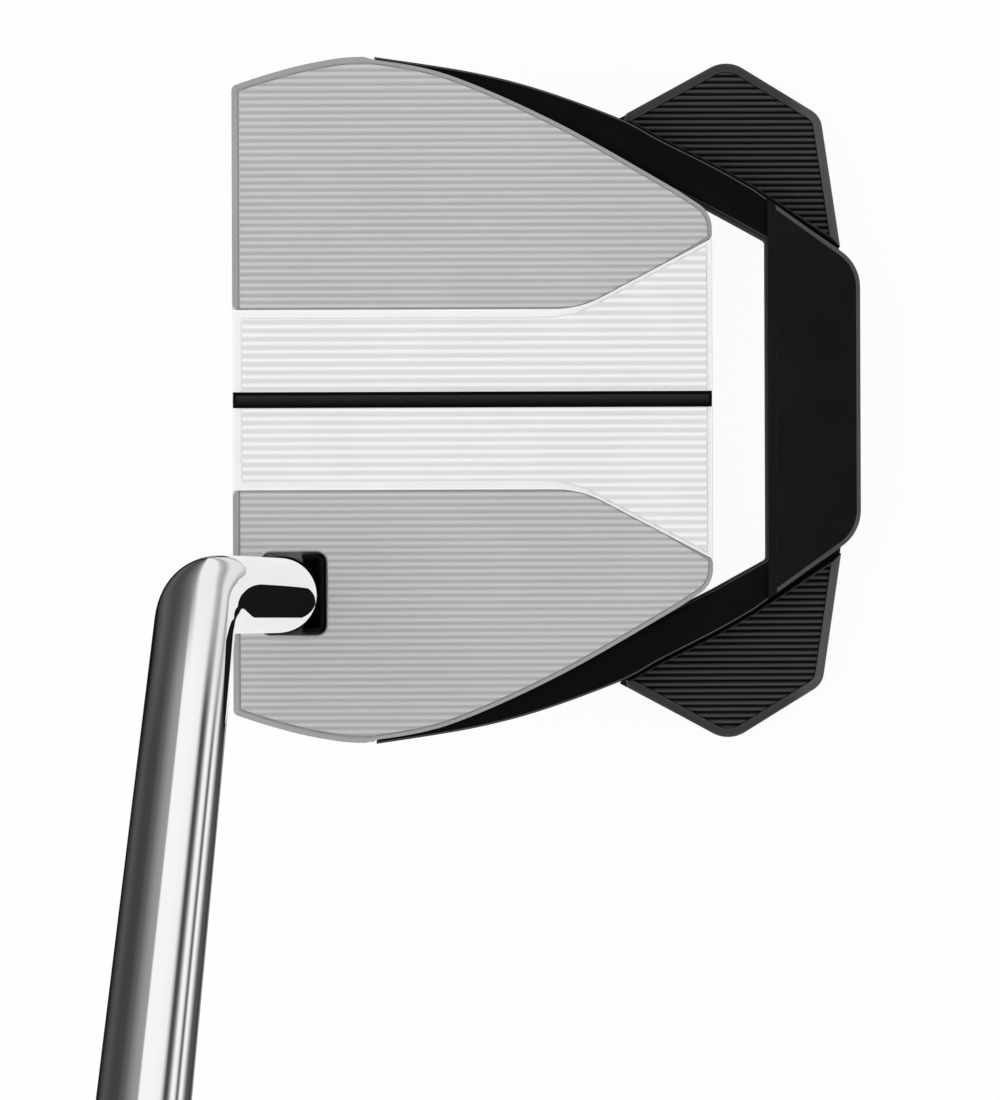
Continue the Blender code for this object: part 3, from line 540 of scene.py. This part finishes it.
# The white ribs are painted darker in the valleys and lighter on the tops: painted shade and light.
white_ribs_painted_shade = shade_painted_ribs("white_ribs_painted_shade", (0.69, 0.69, 0.69), (0.87, 0.87, 0.87), 0.36, 0.0,
                         channel_floor + 0.02, channel_floor + 0.2)
base = loose(stepped(channel_outline, CROWN_UNDER, [(0.0, channel_top - 0.12, 1), (0.12, channel_top, 1),
                                                    (0.28, channel_top, 1),
                                                    (CHANNEL_LIP, channel_floor - 0.1, 1)],
                    shares=lip_shares))
white_field = rib_field(offset(channel_outline, CHANNEL_LIP - 0.05, lip_shares), WHITE_PITCH, 0.9,
                        channel_floor - 1.0, channel_floor, channel_floor + 0.2, 0)
for part in (base, white_field):
    carved(part, loose(stepped([(FACE_X - 2, -LINE_HALF - 0.06), (CROWN_REAR + 2, -LINE_HALF - 0.06),
                                (CROWN_REAR + 2, LINE_HALF + 0.06), (FACE_X - 2, LINE_HALF + 0.06)],
                               channel_floor - 1.8, [(0.0, CROWN_TOP + 1.0, 1)])), "DIFFERENCE")
assembled("white_channel", [base, white_field], [white_ribs_painted_shade, white_lip],
          ["alignment_channel"])

line_black, line_shader, spot = finish("line_black", (0.012, 0.012, 0.012), 0.4, Specular_IOR_Level=0.03)
line_grain = spot.speckle(0.3, 3.0)
# Across the strip the black is painted lighter towards +Y and darker towards -Y, light and shade of a rounded
# groove; its sloped edges are a darker copy, painted shade.
line_painted_light_across = spot.along("y").ramp(-0.9 * MM, 0.9 * MM)
into(line_shader, "Base Color", line_painted_light_across.between((0.0015, 0.0015, 0.0015), (0.024, 0.024, 0.024)))
relief(line_shader, line_grain, 0.01)
line_edge_shade = finish("line_edge_shade", (0.002, 0.002, 0.002), 0.4, Specular_IOR_Level=0.02)[0]
strip = [(FACE_X + 0.05, -LINE_HALF), (CROWN_REAR - 0.05, -LINE_HALF),
         (CROWN_REAR - 0.05, LINE_HALF), (FACE_X + 0.05, LINE_HALF)]
line = loose(stepped(strip, channel_floor - 1.5, [(0.0, CROWN_TOP - 0.62, 1), (0.12, CROWN_TOP - 0.5, 1),
                                                  (0.42, CROWN_TOP - 0.4, 1), (0.6, CROWN_TOP - 0.4, 0)]))
assembled("sight_strip", [line], [line_black, line_edge_shade], ["sight_line"])

# ---- rear ring ---------------------------------------------------------------------------------------
# A black anodised aluminium ring: two arms sweep back from the shoulders to a raised crossbar. Eight
# screws from below hold it to the body and the wings. The edges carry a painted highlight, a shade
# lighter than the black, and the crossbar's top is painted lighter than the arms as painted light.
RING_BOTTOM = 9.0
RING_TOP = 20.8
BAR_TOP = 22.4
BAR_FRONT = 40.15
BAR_REAR = 52.8
RING_SCREWS = ((1.5, 41.4), (12.0, 38.5))
WING_SCREWS = ((26.5, 32.2), (44.5, 20.2))


def arm_outer():
    corner = fillet((BAR_REAR, 0.0), (BAR_REAR, 18.2), (38.4, 28.6), 6.0, 16)
    sweep = [(38.4, 28.6), (33.3, 31.5), (25.6, 35.4), (20.0, 38.35), (9.1, 42.34), (-0.5, 44.75),
             (-13.2, 46.75)]
    return [*corner, *smooth_curve(sweep, 10)]


def bar_outline(front, side):
    """The raised crossbar, its front edge and its outer edge brought in by their own amounts."""
    edge = [point for point in arm_outer() if point[0] > BAR_FRONT + 0.6]
    edge.append((BAR_FRONT, edge[-1][1] + (edge[-1][0] - BAR_FRONT) * 0.72))
    whole_bar = offset([*edge, *mirrored(edge)], side)
    at = len(edge)
    for k in (at - 1, at):
        before = Vector(whole_bar[at - 2 if k == at - 1 else at + 1])
        corner = Vector(whole_bar[k])
        share = (BAR_FRONT + front - corner.x) / (before.x - corner.x)
        whole_bar[k] = tuple(corner.lerp(before, share))
    return whole_bar


ring_wall = blasted("ring_wall", (0.005, 0.005, 0.0052), 0.55, 0.0, grain=0.01, spread=0.15,
                    Specular_IOR_Level=0.02)
# The edge bands are a lighter copy of the ring's black: a painted highlight along the edges.
ring_edge_highlight = blasted("ring_edge_highlight", (0.055, 0.055, 0.056), 0.36, 0.0, grain=0.006, spread=0.1,
                    Specular_IOR_Level=0.2)
# The crossbar's top is a lighter copy of the arms' black: painted light on the raised bar.
bar_black_painted_light = blasted("bar_black_painted_light", (0.0045, 0.0045, 0.0047), 0.42, 0.0, grain=0.01, spread=0.15,
                    Specular_IOR_Level=0.05)
ring_black = blasted("ring_black", (0.0025, 0.0025, 0.0026), 0.42, 0.0, grain=0.01, spread=0.15,
                     Specular_IOR_Level=0.03)
inner_edge = [(-13.2, 43.0), (14.0, 35.3), (32.8, 25.85),
              *fillet((32.8, 25.85), (BAR_FRONT, 21.8), (BAR_FRONT, 0.0), 0.6, 6)]
toe_half = [*arm_outer(), *inner_edge]
ring_layers = [(0.0, RING_TOP - 0.42, 0), (0.10, RING_TOP - 0.2, 3), (0.26, RING_TOP - 0.05, 1),
               (0.5, RING_TOP, 3)]
ring = loose(stepped([*toe_half, *mirrored(toe_half)], RING_BOTTOM, ring_layers, foot=0.25))
bar_layers = [(bar_outline(0.03, 0.03), BAR_TOP - 0.75, 0), (bar_outline(1.15, 0.12), BAR_TOP - 0.3, 2),
              (bar_outline(1.17, 0.62), BAR_TOP - 0.03, 1), (bar_outline(1.35, 0.75), BAR_TOP, 2)]
bar = loose(stepped(bar_outline(0.03, 0.03), RING_TOP - 1.0, bar_layers))
for sign in (1, -1):
    for x, y in RING_SCREWS:
        carved(ring, loose(stepped(circle((x, y * sign), 1.8, 24), RING_BOTTOM - 1.0, [(0.0, 16.6, 0)])),
               "DIFFERENCE")
    for x, y in WING_SCREWS:
        carved(ring, loose(stepped(circle((x, y * sign), 1.8, 24), RING_BOTTOM - 1.0, [(0.0, 17.6, 0)])),
               "DIFFERENCE")
assembled("ring_with_bar", [ring, bar], [ring_wall, ring_edge_highlight, bar_black_painted_light, ring_black],
          ["rear_ring"])
for label in SIDES:
    eased(f"ring_screw_{label}", 0.08, [screw_steel, screw_edge_highlight], sharp=40.0)

# ---- corner wings and weights ------------------------------------------------------------------------
# Two heavy black wings under the ring's rear corners. The part that stands outside the ring has
# a plain rim round a sunken field of narrow ribs; a steel weight screws in from below.
WING_BOTTOM = 3.0
WING_TOP = 13.8
WING_RIM = 1.3
WING_RIBS = {"toe": (0.8332, 42.32), "heel": (0.8567, -32.89)}
SHELF_TOP = 8.7
WEIGHT_AT = (38.6, 36.6)
WING_SIDE = ((47.82, 38.95), 3.0)
WING_TIP = ((35.0, 46.85), 4.4)


def wing_edge_run(start, end):
    """The wing's free edge, from its rear end round both corners to its front end."""
    return [start, *fillet(start, WING_SIDE[0], WING_TIP[0], WING_SIDE[1]),
            *fillet(WING_SIDE[0], WING_TIP[0], end, WING_TIP[1], 14), end]


def wing_foot_outline():
    inside = [(22.6, 31.3), (32.0, 27.1), (41.4, 21.6), (41.4, 15.9), (47.0, 15.9)]
    return [*wing_edge_run((50.6, 20.2), (20.2, 38.9)), *inside]


def wing_top_outline():
    """The part that stands up beside the ring, a seam's width from it, and its rim's shares."""
    beside = [point for point in arm_outer() if 20.2 < point[0] < 50.0]
    inner = []
    for index, point in enumerate(beside):
        ahead = Vector(beside[min(index + 1, len(beside) - 1)])
        run = (ahead - Vector(beside[max(index - 1, 0)])).normalized()
        inner.append((point[0] + run.y * 0.3, point[1] - run.x * 0.3))
    free = wing_edge_run((50.47, 21.0), (21.2, 39.35))
    return [*free, *reversed(inner)], [1.0] * (len(free) - 1) + [0.35] * (len(inner) + 1)


wing_black = blasted("wing_black", (0.010, 0.010, 0.0105), 0.4, 0.0, grain=0.01, spread=0.15,
                     Specular_IOR_Level=0.12)
wing_rim_painted_light, wing_shader, spot = finish("wing_rim_painted_light", (0.036, 0.036, 0.037), 0.38, Specular_IOR_Level=0.2)
# The rim is painted lighter towards +X, the rear, as light from the rear lamp falling on it.
into(wing_shader, "Base Color", spot.along("x").ramp(42.5 * MM, 46.5 * MM).between((0.028, 0.028, 0.029),
                                                                               (0.064, 0.064, 0.065)))
relief(wing_shader, spot.speckle(0.22, 3.0), 0.01)
# The wing ribs are painted near black in the valleys and lighter on the tops: painted shade and light.
wing_ribs_painted_shade = shade_painted_ribs("wing_ribs_painted_shade", (0.0025, 0.0025, 0.0026), (0.066, 0.066, 0.067), 0.4, 0.0,
                        WING_TOP - 0.46, WING_TOP - 0.12, Specular_IOR_Level=0.1)
weight_steel = brushed("weight_steel", (0.5, 0.5, 0.51), 0.26, (2.0, 2.0, 2.0))
for side, sign in (("toe", 1), ("heel", -1)):
    top_line, shares = wing_top_outline()
    if sign < 0:
        top_line = mirrored(top_line)
        shares = [*reversed(shares[:-1]), shares[-1]]
    foot_line = wing_foot_outline() if sign > 0 else mirrored(wing_foot_outline())
    foot = loose(stepped(foot_line, WING_BOTTOM, [(0.0, SHELF_TOP, 0)], foot=0.4))
    top = loose(stepped(top_line, SHELF_TOP - 1.0,
                        [(0.0, WING_TOP - 0.75, 0), (0.12, WING_TOP - 0.5, 1), (0.95, WING_TOP, 1),
                         (WING_RIM - 0.1, WING_TOP, 1), (WING_RIM + 0.05, WING_TOP - 0.5, 0)],
                        foot=1.0, shares=shares))
    pitch, peak_y = WING_RIBS[side]
    ribs = rib_field(offset(top_line, WING_RIM, shares), pitch, peak_y, WING_TOP - 1.0,
                     WING_TOP - 0.48, WING_TOP - 0.1, 2)
    cuts = [((WEIGHT_AT[0], WEIGHT_AT[1] * sign), 6.3, 10.3)]
    cuts += [((x, y * sign), radius, height)
             for x, y in WING_SCREWS for radius, height in ((1.8, 10.0), (2.5, 5.3))]
    for place, radius, height in cuts:
        for part in (foot, top) if radius > 5.0 else (foot,):
            carved(part, loose(stepped(circle(place, radius, 40), WING_BOTTOM - 1.0, [(0.0, height, 0)])),
                   "DIFFERENCE")
    assembled(f"{side}_wing_ribbed", [foot, top, ribs], [wing_black, wing_rim_painted_light, wing_ribs_painted_shade], [f"{side}_wing"])
    eased(f"{side}_weight", 0.1, [weight_steel, screw_edge_highlight], sharp=40.0)
for label in SIDES:
    eased(f"wing_screw_{label}", 0.08, [screw_steel, screw_edge_highlight], sharp=40.0)

# ---- shaft socket ------------------------------------------------------------------------------------
# A thin black moulded cup lines the part of the square pocket that the round shaft leaves open.
# It is a half cup, and its lip ends just below the crown.
cup_black, cup_shader, spot = finish("socket_cup_black", (0.003, 0.003, 0.0031), 0.6, Specular_IOR_Level=0.03)
cup_grain = spot.speckle(0.25, 3.0)
into(cup_shader, "Roughness", 0.45 + cup_grain * 0.12)
relief(cup_shader, cup_grain, 0.02)
eased("socket_liner", 0.05, [cup_black, cup_black])

# ---- shaft -------------------------------------------------------------------------------------------
# One chromed steel tube with a double bend above the socket: it leaves the pocket upright, bends
# forward past the face, and turns into the lie. It is bonded into the bore.
LIE = math.radians(70.0)
CORNER = Vector((-35.68, -26.02, 62.8))
UP_SHAFT = Vector((0.0, -math.cos(LIE), math.sin(LIE)))
BUTT = CORNER + UP_SHAFT * (864.0 * math.sin(LIE) - CORNER.z) / math.sin(LIE)
TIP_Z = 3.6
RADIUS_TIP = 4.97
RADIUS_BEND = 5.26
RADIUS_BUTT = 7.35
TAPER_START = 260.0
SHAFT_WALL = 0.55


def shaft_stations():
    """Centre, direction and outer radius along the tube."""
    tip = Vector((*SHAFT_AT, TIP_Z))
    first = Vector((*SHAFT_AT, 30.0))
    low_bend = [Vector(p) for p in fillet(tip, first, CORNER, 18.0, 14)]
    high_bend = [Vector(p) for p in fillet(first, CORNER, BUTT, 46.9, 30)]
    taper = CORNER + UP_SHAFT * TAPER_START
    points = [tip, *low_bend, *high_bend, CORNER.lerp(taper, 0.6), taper, taper.lerp(BUTT, 0.5), BUTT]
    made = []
    for index, point in enumerate(points):
        before = points[max(index - 1, 0)]
        after = points[min(index + 1, len(points) - 1)]
        heading = ((point - before).normalized() + (after - point).normalized()).normalized()
        if point.z <= CORNER.z:
            share = max(0.0, (point.z - 18.0) / (CORNER.z - 18.0))
            radius = RADIUS_TIP + (RADIUS_BEND - RADIUS_TIP) * share
        else:
            share = max(0.0, (point - taper).dot(UP_SHAFT)) / (BUTT - taper).length
            radius = RADIUS_BEND + (RADIUS_BUTT - RADIUS_BEND) * share
        made.append((point, heading, radius))
    return made


def swept(bm, stations, section):
    """Rings along the stations; section(angle, radius) gives each point's distance from the axis."""
    side = Vector((0.0, 1.0, 0.0))
    rings = []
    for centre, heading, radius in stations:
        side = (side - heading * side.dot(heading)).normalized()
        across = heading.cross(side)
        rings.append([bm.verts.new((centre + (side * math.cos(a) + across * math.sin(a))
                                    * section(a, radius)) * MM)
                      for a in (2 * math.pi * k / SHAFT_SIDES for k in range(SHAFT_SIDES))])
    return rings


def sleeve(bm, rings, kinds=None):
    """Skins a closed run of rings, the last joined back to the first."""
    for index, ring in enumerate(rings):
        before = rings[index - 1]
        for k in range(len(ring)):
            face = bm.faces.new((before[k - 1], before[k], ring[k], ring[k - 1]))
            face.material_index = kinds[index] if kinds else 0


def whole(name, bm, finishes, nodes, angle=35.0):
    bmesh.ops.recalc_face_normals(bm, faces=bm.faces)
    return assembled(name, [loose(bm)], finishes, nodes, angle)


SHAFT_SIDES = 72
chrome, chrome_shader, spot = finish("shaft_chrome", (0.90, 0.90, 0.905), 0.045, 1.0)
polish = (spot * (3.0, 3.0, 0.15)).speckle(1.2, 3.0)
into(chrome_shader, "Roughness", 0.015 + polish * 0.03)
into(chrome_shader, "Base Color", spot.speckle(30.0).between((0.885, 0.885, 0.89), (0.92, 0.92, 0.925)))
bm = bmesh.new()
stations = shaft_stations()
outer = swept(bm, stations, lambda a, r: r)
inner = swept(bm, stations, lambda a, r: r - SHAFT_WALL)
sleeve(bm, [*outer, *reversed(inner)])
whole("shaft_tube", bm, [chrome], ["shaft"], 50.0)

# ---- grip --------------------------------------------------------------------------------------------
# Double-sided tape holds a moulded rubber grip on the butt end: a soft inner layer, a
# textured skin with a flat thumb side, and a pressed-in end cap with a vent hole.
GRIP_LENGTH = 265.0
TAPE_IN = 0.05
UNDER_IN = TAPE_IN + 0.25 + 0.05
SKIN_IN = UNDER_IN + 1.6 + 0.05
GRIP_SKIN = 2.2

tape_cream, tape_shader, spot = finish("grip_tape_cream", (0.75, 0.72, 0.62), 0.75)
tape_creases = (spot * (1.0, 1.0, 0.3)).speckle(2.5, 3.0)
into(tape_shader, "Base Color", tape_creases.between((0.66, 0.63, 0.53), (0.78, 0.75, 0.65)))
relief(tape_shader, tape_creases, 0.05)
for node, item in (("grip_tape", tape_cream), ("grip_underlisting", core_foam)):
    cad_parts[node].data.materials.clear()
    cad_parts[node].data.materials.append(item)


def skin_radius(share):
    from_butt = GRIP_LENGTH * (1 - share)
    tapered = (BUTT - CORNER).length - TAPER_START
    shaft = RADIUS_BUTT - (RADIUS_BUTT - RADIUS_BEND) * from_butt / tapered
    return shaft + SKIN_IN, shaft + SKIN_IN + GRIP_SKIN + 1.6 * share + 0.9 * math.sin(math.pi * share) ** 2


def thumb_flat(angle, radius):
    """Round at the back, flattened on the thumb side, which faces up and towards the toe."""
    reach = radius * 0.86
    lean = math.cos(angle)
    return min(radius, reach / lean) if lean > 0.3 else radius


grip_rubber, grip_shader, spot = finish("grip_rubber", (0.022, 0.022, 0.023), 0.72)
run = spot.along("z") * 0.94 - spot.along("y") * 0.342
wrap = spot.via("ShaderNodeTexNoise", spot, 900.0, 2.0, 0.5)
dots = spot.via("ShaderNodeTexVoronoi", spot, 620.0)
into(grip_shader, "Base Color", dots.ramp(0.1, 0.6).between((0.030, 0.030, 0.031), (0.015, 0.015, 0.016)))
into(grip_shader, "Roughness", 0.66 + wrap * 0.14)
waves = run * 3000.0
relief(grip_shader, dots + waves.via("ShaderNodeMath", waves, operation="SINE") * 0.3, 0.12)
grip_band = finish("grip_band", (0.012, 0.012, 0.0125), 0.55)[0]

bm = bmesh.new()
steps = 60
stations_out = []
kinds = []
for step in range(steps + 1):
    share = step / steps
    centre = BUTT - UP_SHAFT * GRIP_LENGTH * (1 - share)
    outside = skin_radius(share)[1]
    if step in (3, 4, 7, 8):
        outside -= 0.35
    if step == 0:
        outside -= 0.9
    stations_out.append((centre, UP_SHAFT, outside))
    kinds.append(1 if step < 9 else 0)
stations_in = [(BUTT - UP_SHAFT * GRIP_LENGTH * (1 - s), UP_SHAFT, skin_radius(s)[0]) for s in (0.0, 1.0)]
outer = swept(bm, stations_out, thumb_flat)
inner = swept(bm, stations_in, lambda a, r: r)
sleeve(bm, [*outer, *reversed(inner)], [*kinds, 1, 1])
whole("grip_skin", bm, [grip_rubber, grip_band], ["grip_sleeve"], 50.0)

cap_radius = skin_radius(1.0)[1] - 0.1
profile = [(0.3, 1.2), (0.3, cap_radius - 0.3), (0.6, cap_radius), (3.2, cap_radius), (4.1, cap_radius - 0.6),
           (4.7, cap_radius - 1.4), (5.0, cap_radius - 2.4), (4.5, cap_radius - 3.4), (4.5, 3.2), (4.9, 2.4),
           (4.9, 1.2)]
bm = bmesh.new()
cap_stations = [(BUTT + UP_SHAFT * height, UP_SHAFT, radius) for height, radius in profile]
rings = swept(bm, cap_stations, lambda a, r: thumb_flat(a, r) if r > 6.0 else r)
sleeve(bm, rings)
whole("grip_cap", bm, [grip_band], ["grip_end_cap"], 30.0)

# ---- floor, boards, cards and light ------------------------------------------------------------------
# A plain pale floor under soft light from all round. Boards lie just over the head where only
# polished metal sees them, and tall dark cards stand round it further off, as in a studio.
floor_pale, floor_shader, spot = finish("floor_pale", (0.86, 0.86, 0.86), 0.9)
floor_tree = floor_pale.node_tree
seen = floor_tree.nodes.new("ShaderNodeLightPath")
white = floor_tree.nodes.new("ShaderNodeEmission")
white.inputs["Color"].default_value = (1.0, 1.0, 1.0, 1.0)
mixed = floor_tree.nodes.new("ShaderNodeMixShader")
direct = Flow(floor_tree, seen.outputs["Is Camera Ray"])
mirror = Flow(floor_tree, seen.outputs["Is Glossy Ray"])
share = direct.via("ShaderNodeMath", direct * 0.95, mirror, operation="MAXIMUM")
floor_tree.links.new(share.socket, mixed.inputs[0])
floor_tree.links.new(floor_shader.outputs[0], mixed.inputs[1])
floor_tree.links.new(white.outputs[0], mixed.inputs[2])
floor_tree.links.new(mixed.outputs[0], floor_tree.nodes["Material Output"].inputs["Surface"])
bm = bmesh.new()
bmesh.ops.create_circle(bm, cap_ends=True, segments=96, radius=6.0)
mesh = bpy.data.meshes.new("floor")
bm.to_mesh(mesh)
bm.free()
floor = bpy.data.objects.new("floor", mesh)
floor.location.z = -0.0002
floor.data.materials.append(floor_pale)
bpy.context.scene.collection.objects.link(floor)


def board(name, outline, height, bands, near=None):
    """A flat board just over the head that only polished metal sees, and only from above. Its tone
    goes round the shaft in bands of (bearing, level), with others of its own close to the shaft."""
    bm = bmesh.new()
    bm.faces.new([bm.verts.new((x * MM, y * MM, height * MM)) for x, y in outline])
    mesh = bpy.data.meshes.new(name)
    bm.to_mesh(mesh)
    bm.free()
    item = bpy.data.materials.new(name)
    item.use_nodes = True
    tree = item.node_tree
    tree.nodes.clear()
    place = tree.nodes.new("ShaderNodeNewGeometry")
    at = Flow(tree, place.outputs["Position"])
    bearing = at.via("ShaderNodeMath", BOARD_FOOT[0] * MM - at.along("x"), at.along("y") - BOARD_FOOT[1] * MM,
                     operation="ARCTAN2") / (2 * math.pi) + 0.5
    tones = []
    for levels in (near or bands, bands):
        ramp = tree.nodes.new("ShaderNodeValToRGB")
        tree.links.new(bearing.socket, ramp.inputs[0])
        while len(ramp.color_ramp.elements) < len(levels):
            ramp.color_ramp.elements.new(1.0)
        for stop, (degrees, level) in zip(ramp.color_ramp.elements, levels):
            stop.position = degrees / 360.0 + 0.5
            stop.color = (level, level, level, 1.0)
        tones.append(Flow(tree, ramp.outputs[0]))
    away = at - (BOARD_FOOT[0] * MM, BOARD_FOOT[1] * MM, height * MM)
    reach = away.via("ShaderNodeVectorMath", away, operation="LENGTH")
    glow = tree.nodes.new("ShaderNodeEmission")
    tree.links.new(reach.ramp(NEAR_END * MM, FAR_START * MM).between(*tones).socket, glow.inputs[0])
    clear = tree.nodes.new("ShaderNodeBsdfTransparent")
    faced = tree.nodes.new("ShaderNodeMixShader")
    tree.links.new(place.outputs["Backfacing"], faced.inputs[0])
    tree.links.new(glow.outputs[0], faced.inputs[1])
    tree.links.new(clear.outputs[0], faced.inputs[2])
    out = tree.nodes.new("ShaderNodeOutputMaterial")
    tree.links.new(faced.outputs[0], out.inputs[0])
    made = bpy.data.objects.new(name, mesh)
    made.data.materials.append(item)
    bpy.context.scene.collection.objects.link(made)
    made.visible_camera = False
    made.visible_diffuse = False
    made.visible_shadow = False
    made.visible_transmission = False
    return made


def wedge(centre, radius, start, end, steps=20):
    """A pie slice, in degrees round from +X."""
    turns = [math.radians(start + (end - start) * k / steps) for k in range(steps + 1)]
    return [centre, *[(centre[0] + radius * math.cos(a), centre[1] + radius * math.sin(a)) for a in turns]]


BOARD_FOOT = (-35.9, -12.4)
NEAR_END = 26.0
FAR_START = 50.0
card_black = finish("card_black", (0.03, 0.03, 0.03), 1.0)[0]
SOCKET_SIDE = (-22.5, -27.3)
board("board_wide", [(-1500.0, -1500.0), (1500.0, -1500.0), (1500.0, 1500.0), (-1500.0, 1500.0)], 25.25,
      [(-180, 0.5), (-165, 0.3), (-150, 0.04), (-136, 0.08), (-122, 0.1), (-113, 0.45), (-105, 0.95),
       (-99, 1.0), (-92, 0.16), (-88, 0.13), (-80, 0.95), (-72, 1.0), (-65, 0.35), (-59, 0.07),
       (-52, 0.09), (-47, 0.55), (-41, 0.95), (-20, 1.0), (5, 1.0), (8.5, 0.36), (22, 0.3), (40, 0.13),
       (58, 0.06), (78, 0.055), (105, 0.088), (122, 0.055), (140, 0.015), (156, 0.008),
       (168, 0.05), (180, 0.5)],
      near=[(-180, 0.3), (-165, 0.28), (-155, 0.6), (-147, 0.04), (-135, 0.014), (-115, 0.026), (-108, 0.7),
            (-103, 0.72), (-95, 0.34), (-87, 0.8), (-75, 0.82), (-65, 0.4), (-56, 0.5), (-46, 0.9),
            (-8, 0.92),
            (3, 0.3), (15, 0.16), (35, 0.08), (55, 0.065), (85, 0.11), (105, 0.067), (117, 0.03),
            (126, 0.009), (137, 0.003), (155, 0.045), (180, 0.3)])
board("board_white", wedge(SOCKET_SIDE, 15.0, 0.0, 360.0), 25.35, [(-180, 0.9), (180, 0.9)])
board("board_black", wedge((-21.4, -27.65), 15.0, -72.0, 36.0), 25.4, [(-180, 0.008), (180, 0.008)])

CARD_AWAY = 1.7
CARD_TALL = 2.0
for number, (bearing, width) in enumerate(((25, 0.5), (100, 0.3), (165, 0.6), (235, 0.35), (310, 0.45))):
    turn = math.radians(bearing)
    centre = Vector((CARD_AWAY * math.cos(turn), CARD_AWAY * math.sin(turn), 0.0))
    along = Vector((-math.sin(turn), math.cos(turn), 0.0)) * width / 2
    bm = bmesh.new()
    bm.faces.new([bm.verts.new(centre + along * side + Vector((0.0, 0.0, height)))
                  for side, height in ((-1, 0.0), (1, 0.0), (1, CARD_TALL), (-1, CARD_TALL))])
    mesh = bpy.data.meshes.new(f"dark_card_{number}")
    bm.to_mesh(mesh)
    bm.free()
    card = bpy.data.objects.new(f"dark_card_{number}", mesh)
    card.data.materials.append(card_black)
    bpy.context.scene.collection.objects.link(card)
    card.visible_camera = False
    card.visible_diffuse = False
    card.visible_shadow = False

world = bpy.data.worlds.new("studio")
bpy.context.scene.world = world
world.use_nodes = True
sky = world.node_tree
seen = sky.nodes.new("ShaderNodeLightPath")
shown = Flow(sky, seen.outputs["Is Camera Ray"])
for ray in ("Is Glossy Ray", "Is Transmission Ray"):
    shown = shown.via("ShaderNodeMath", shown, Flow(sky, seen.outputs[ray]), operation="MAXIMUM")
level = shown * 0.28 + 0.72
sky.links.new(level.socket, sky.nodes["Background"].inputs["Strength"])
sky.nodes["Background"].inputs["Color"].default_value = (1.0, 1.0, 1.0, 1.0)

for name, place, aim, size, power in (("top_soft", (-0.6, 0.0, 1.4), (0.0, 0.0, 0.0), 0.9, 6.5),
                                      ("rear_soft", (1.1, -0.5, 1.1), (0.0, 0.0, 0.02), 0.8, 3.5)):
    lamp = bpy.data.lights.new(name, "AREA")
    lamp.size = size
    lamp.energy = power
    made = bpy.data.objects.new(name, lamp)
    made.location = place
    made.rotation_euler = (Vector(aim) - Vector(place)).to_track_quat("-Z", "Y").to_euler()
    bpy.context.scene.collection.objects.link(made)
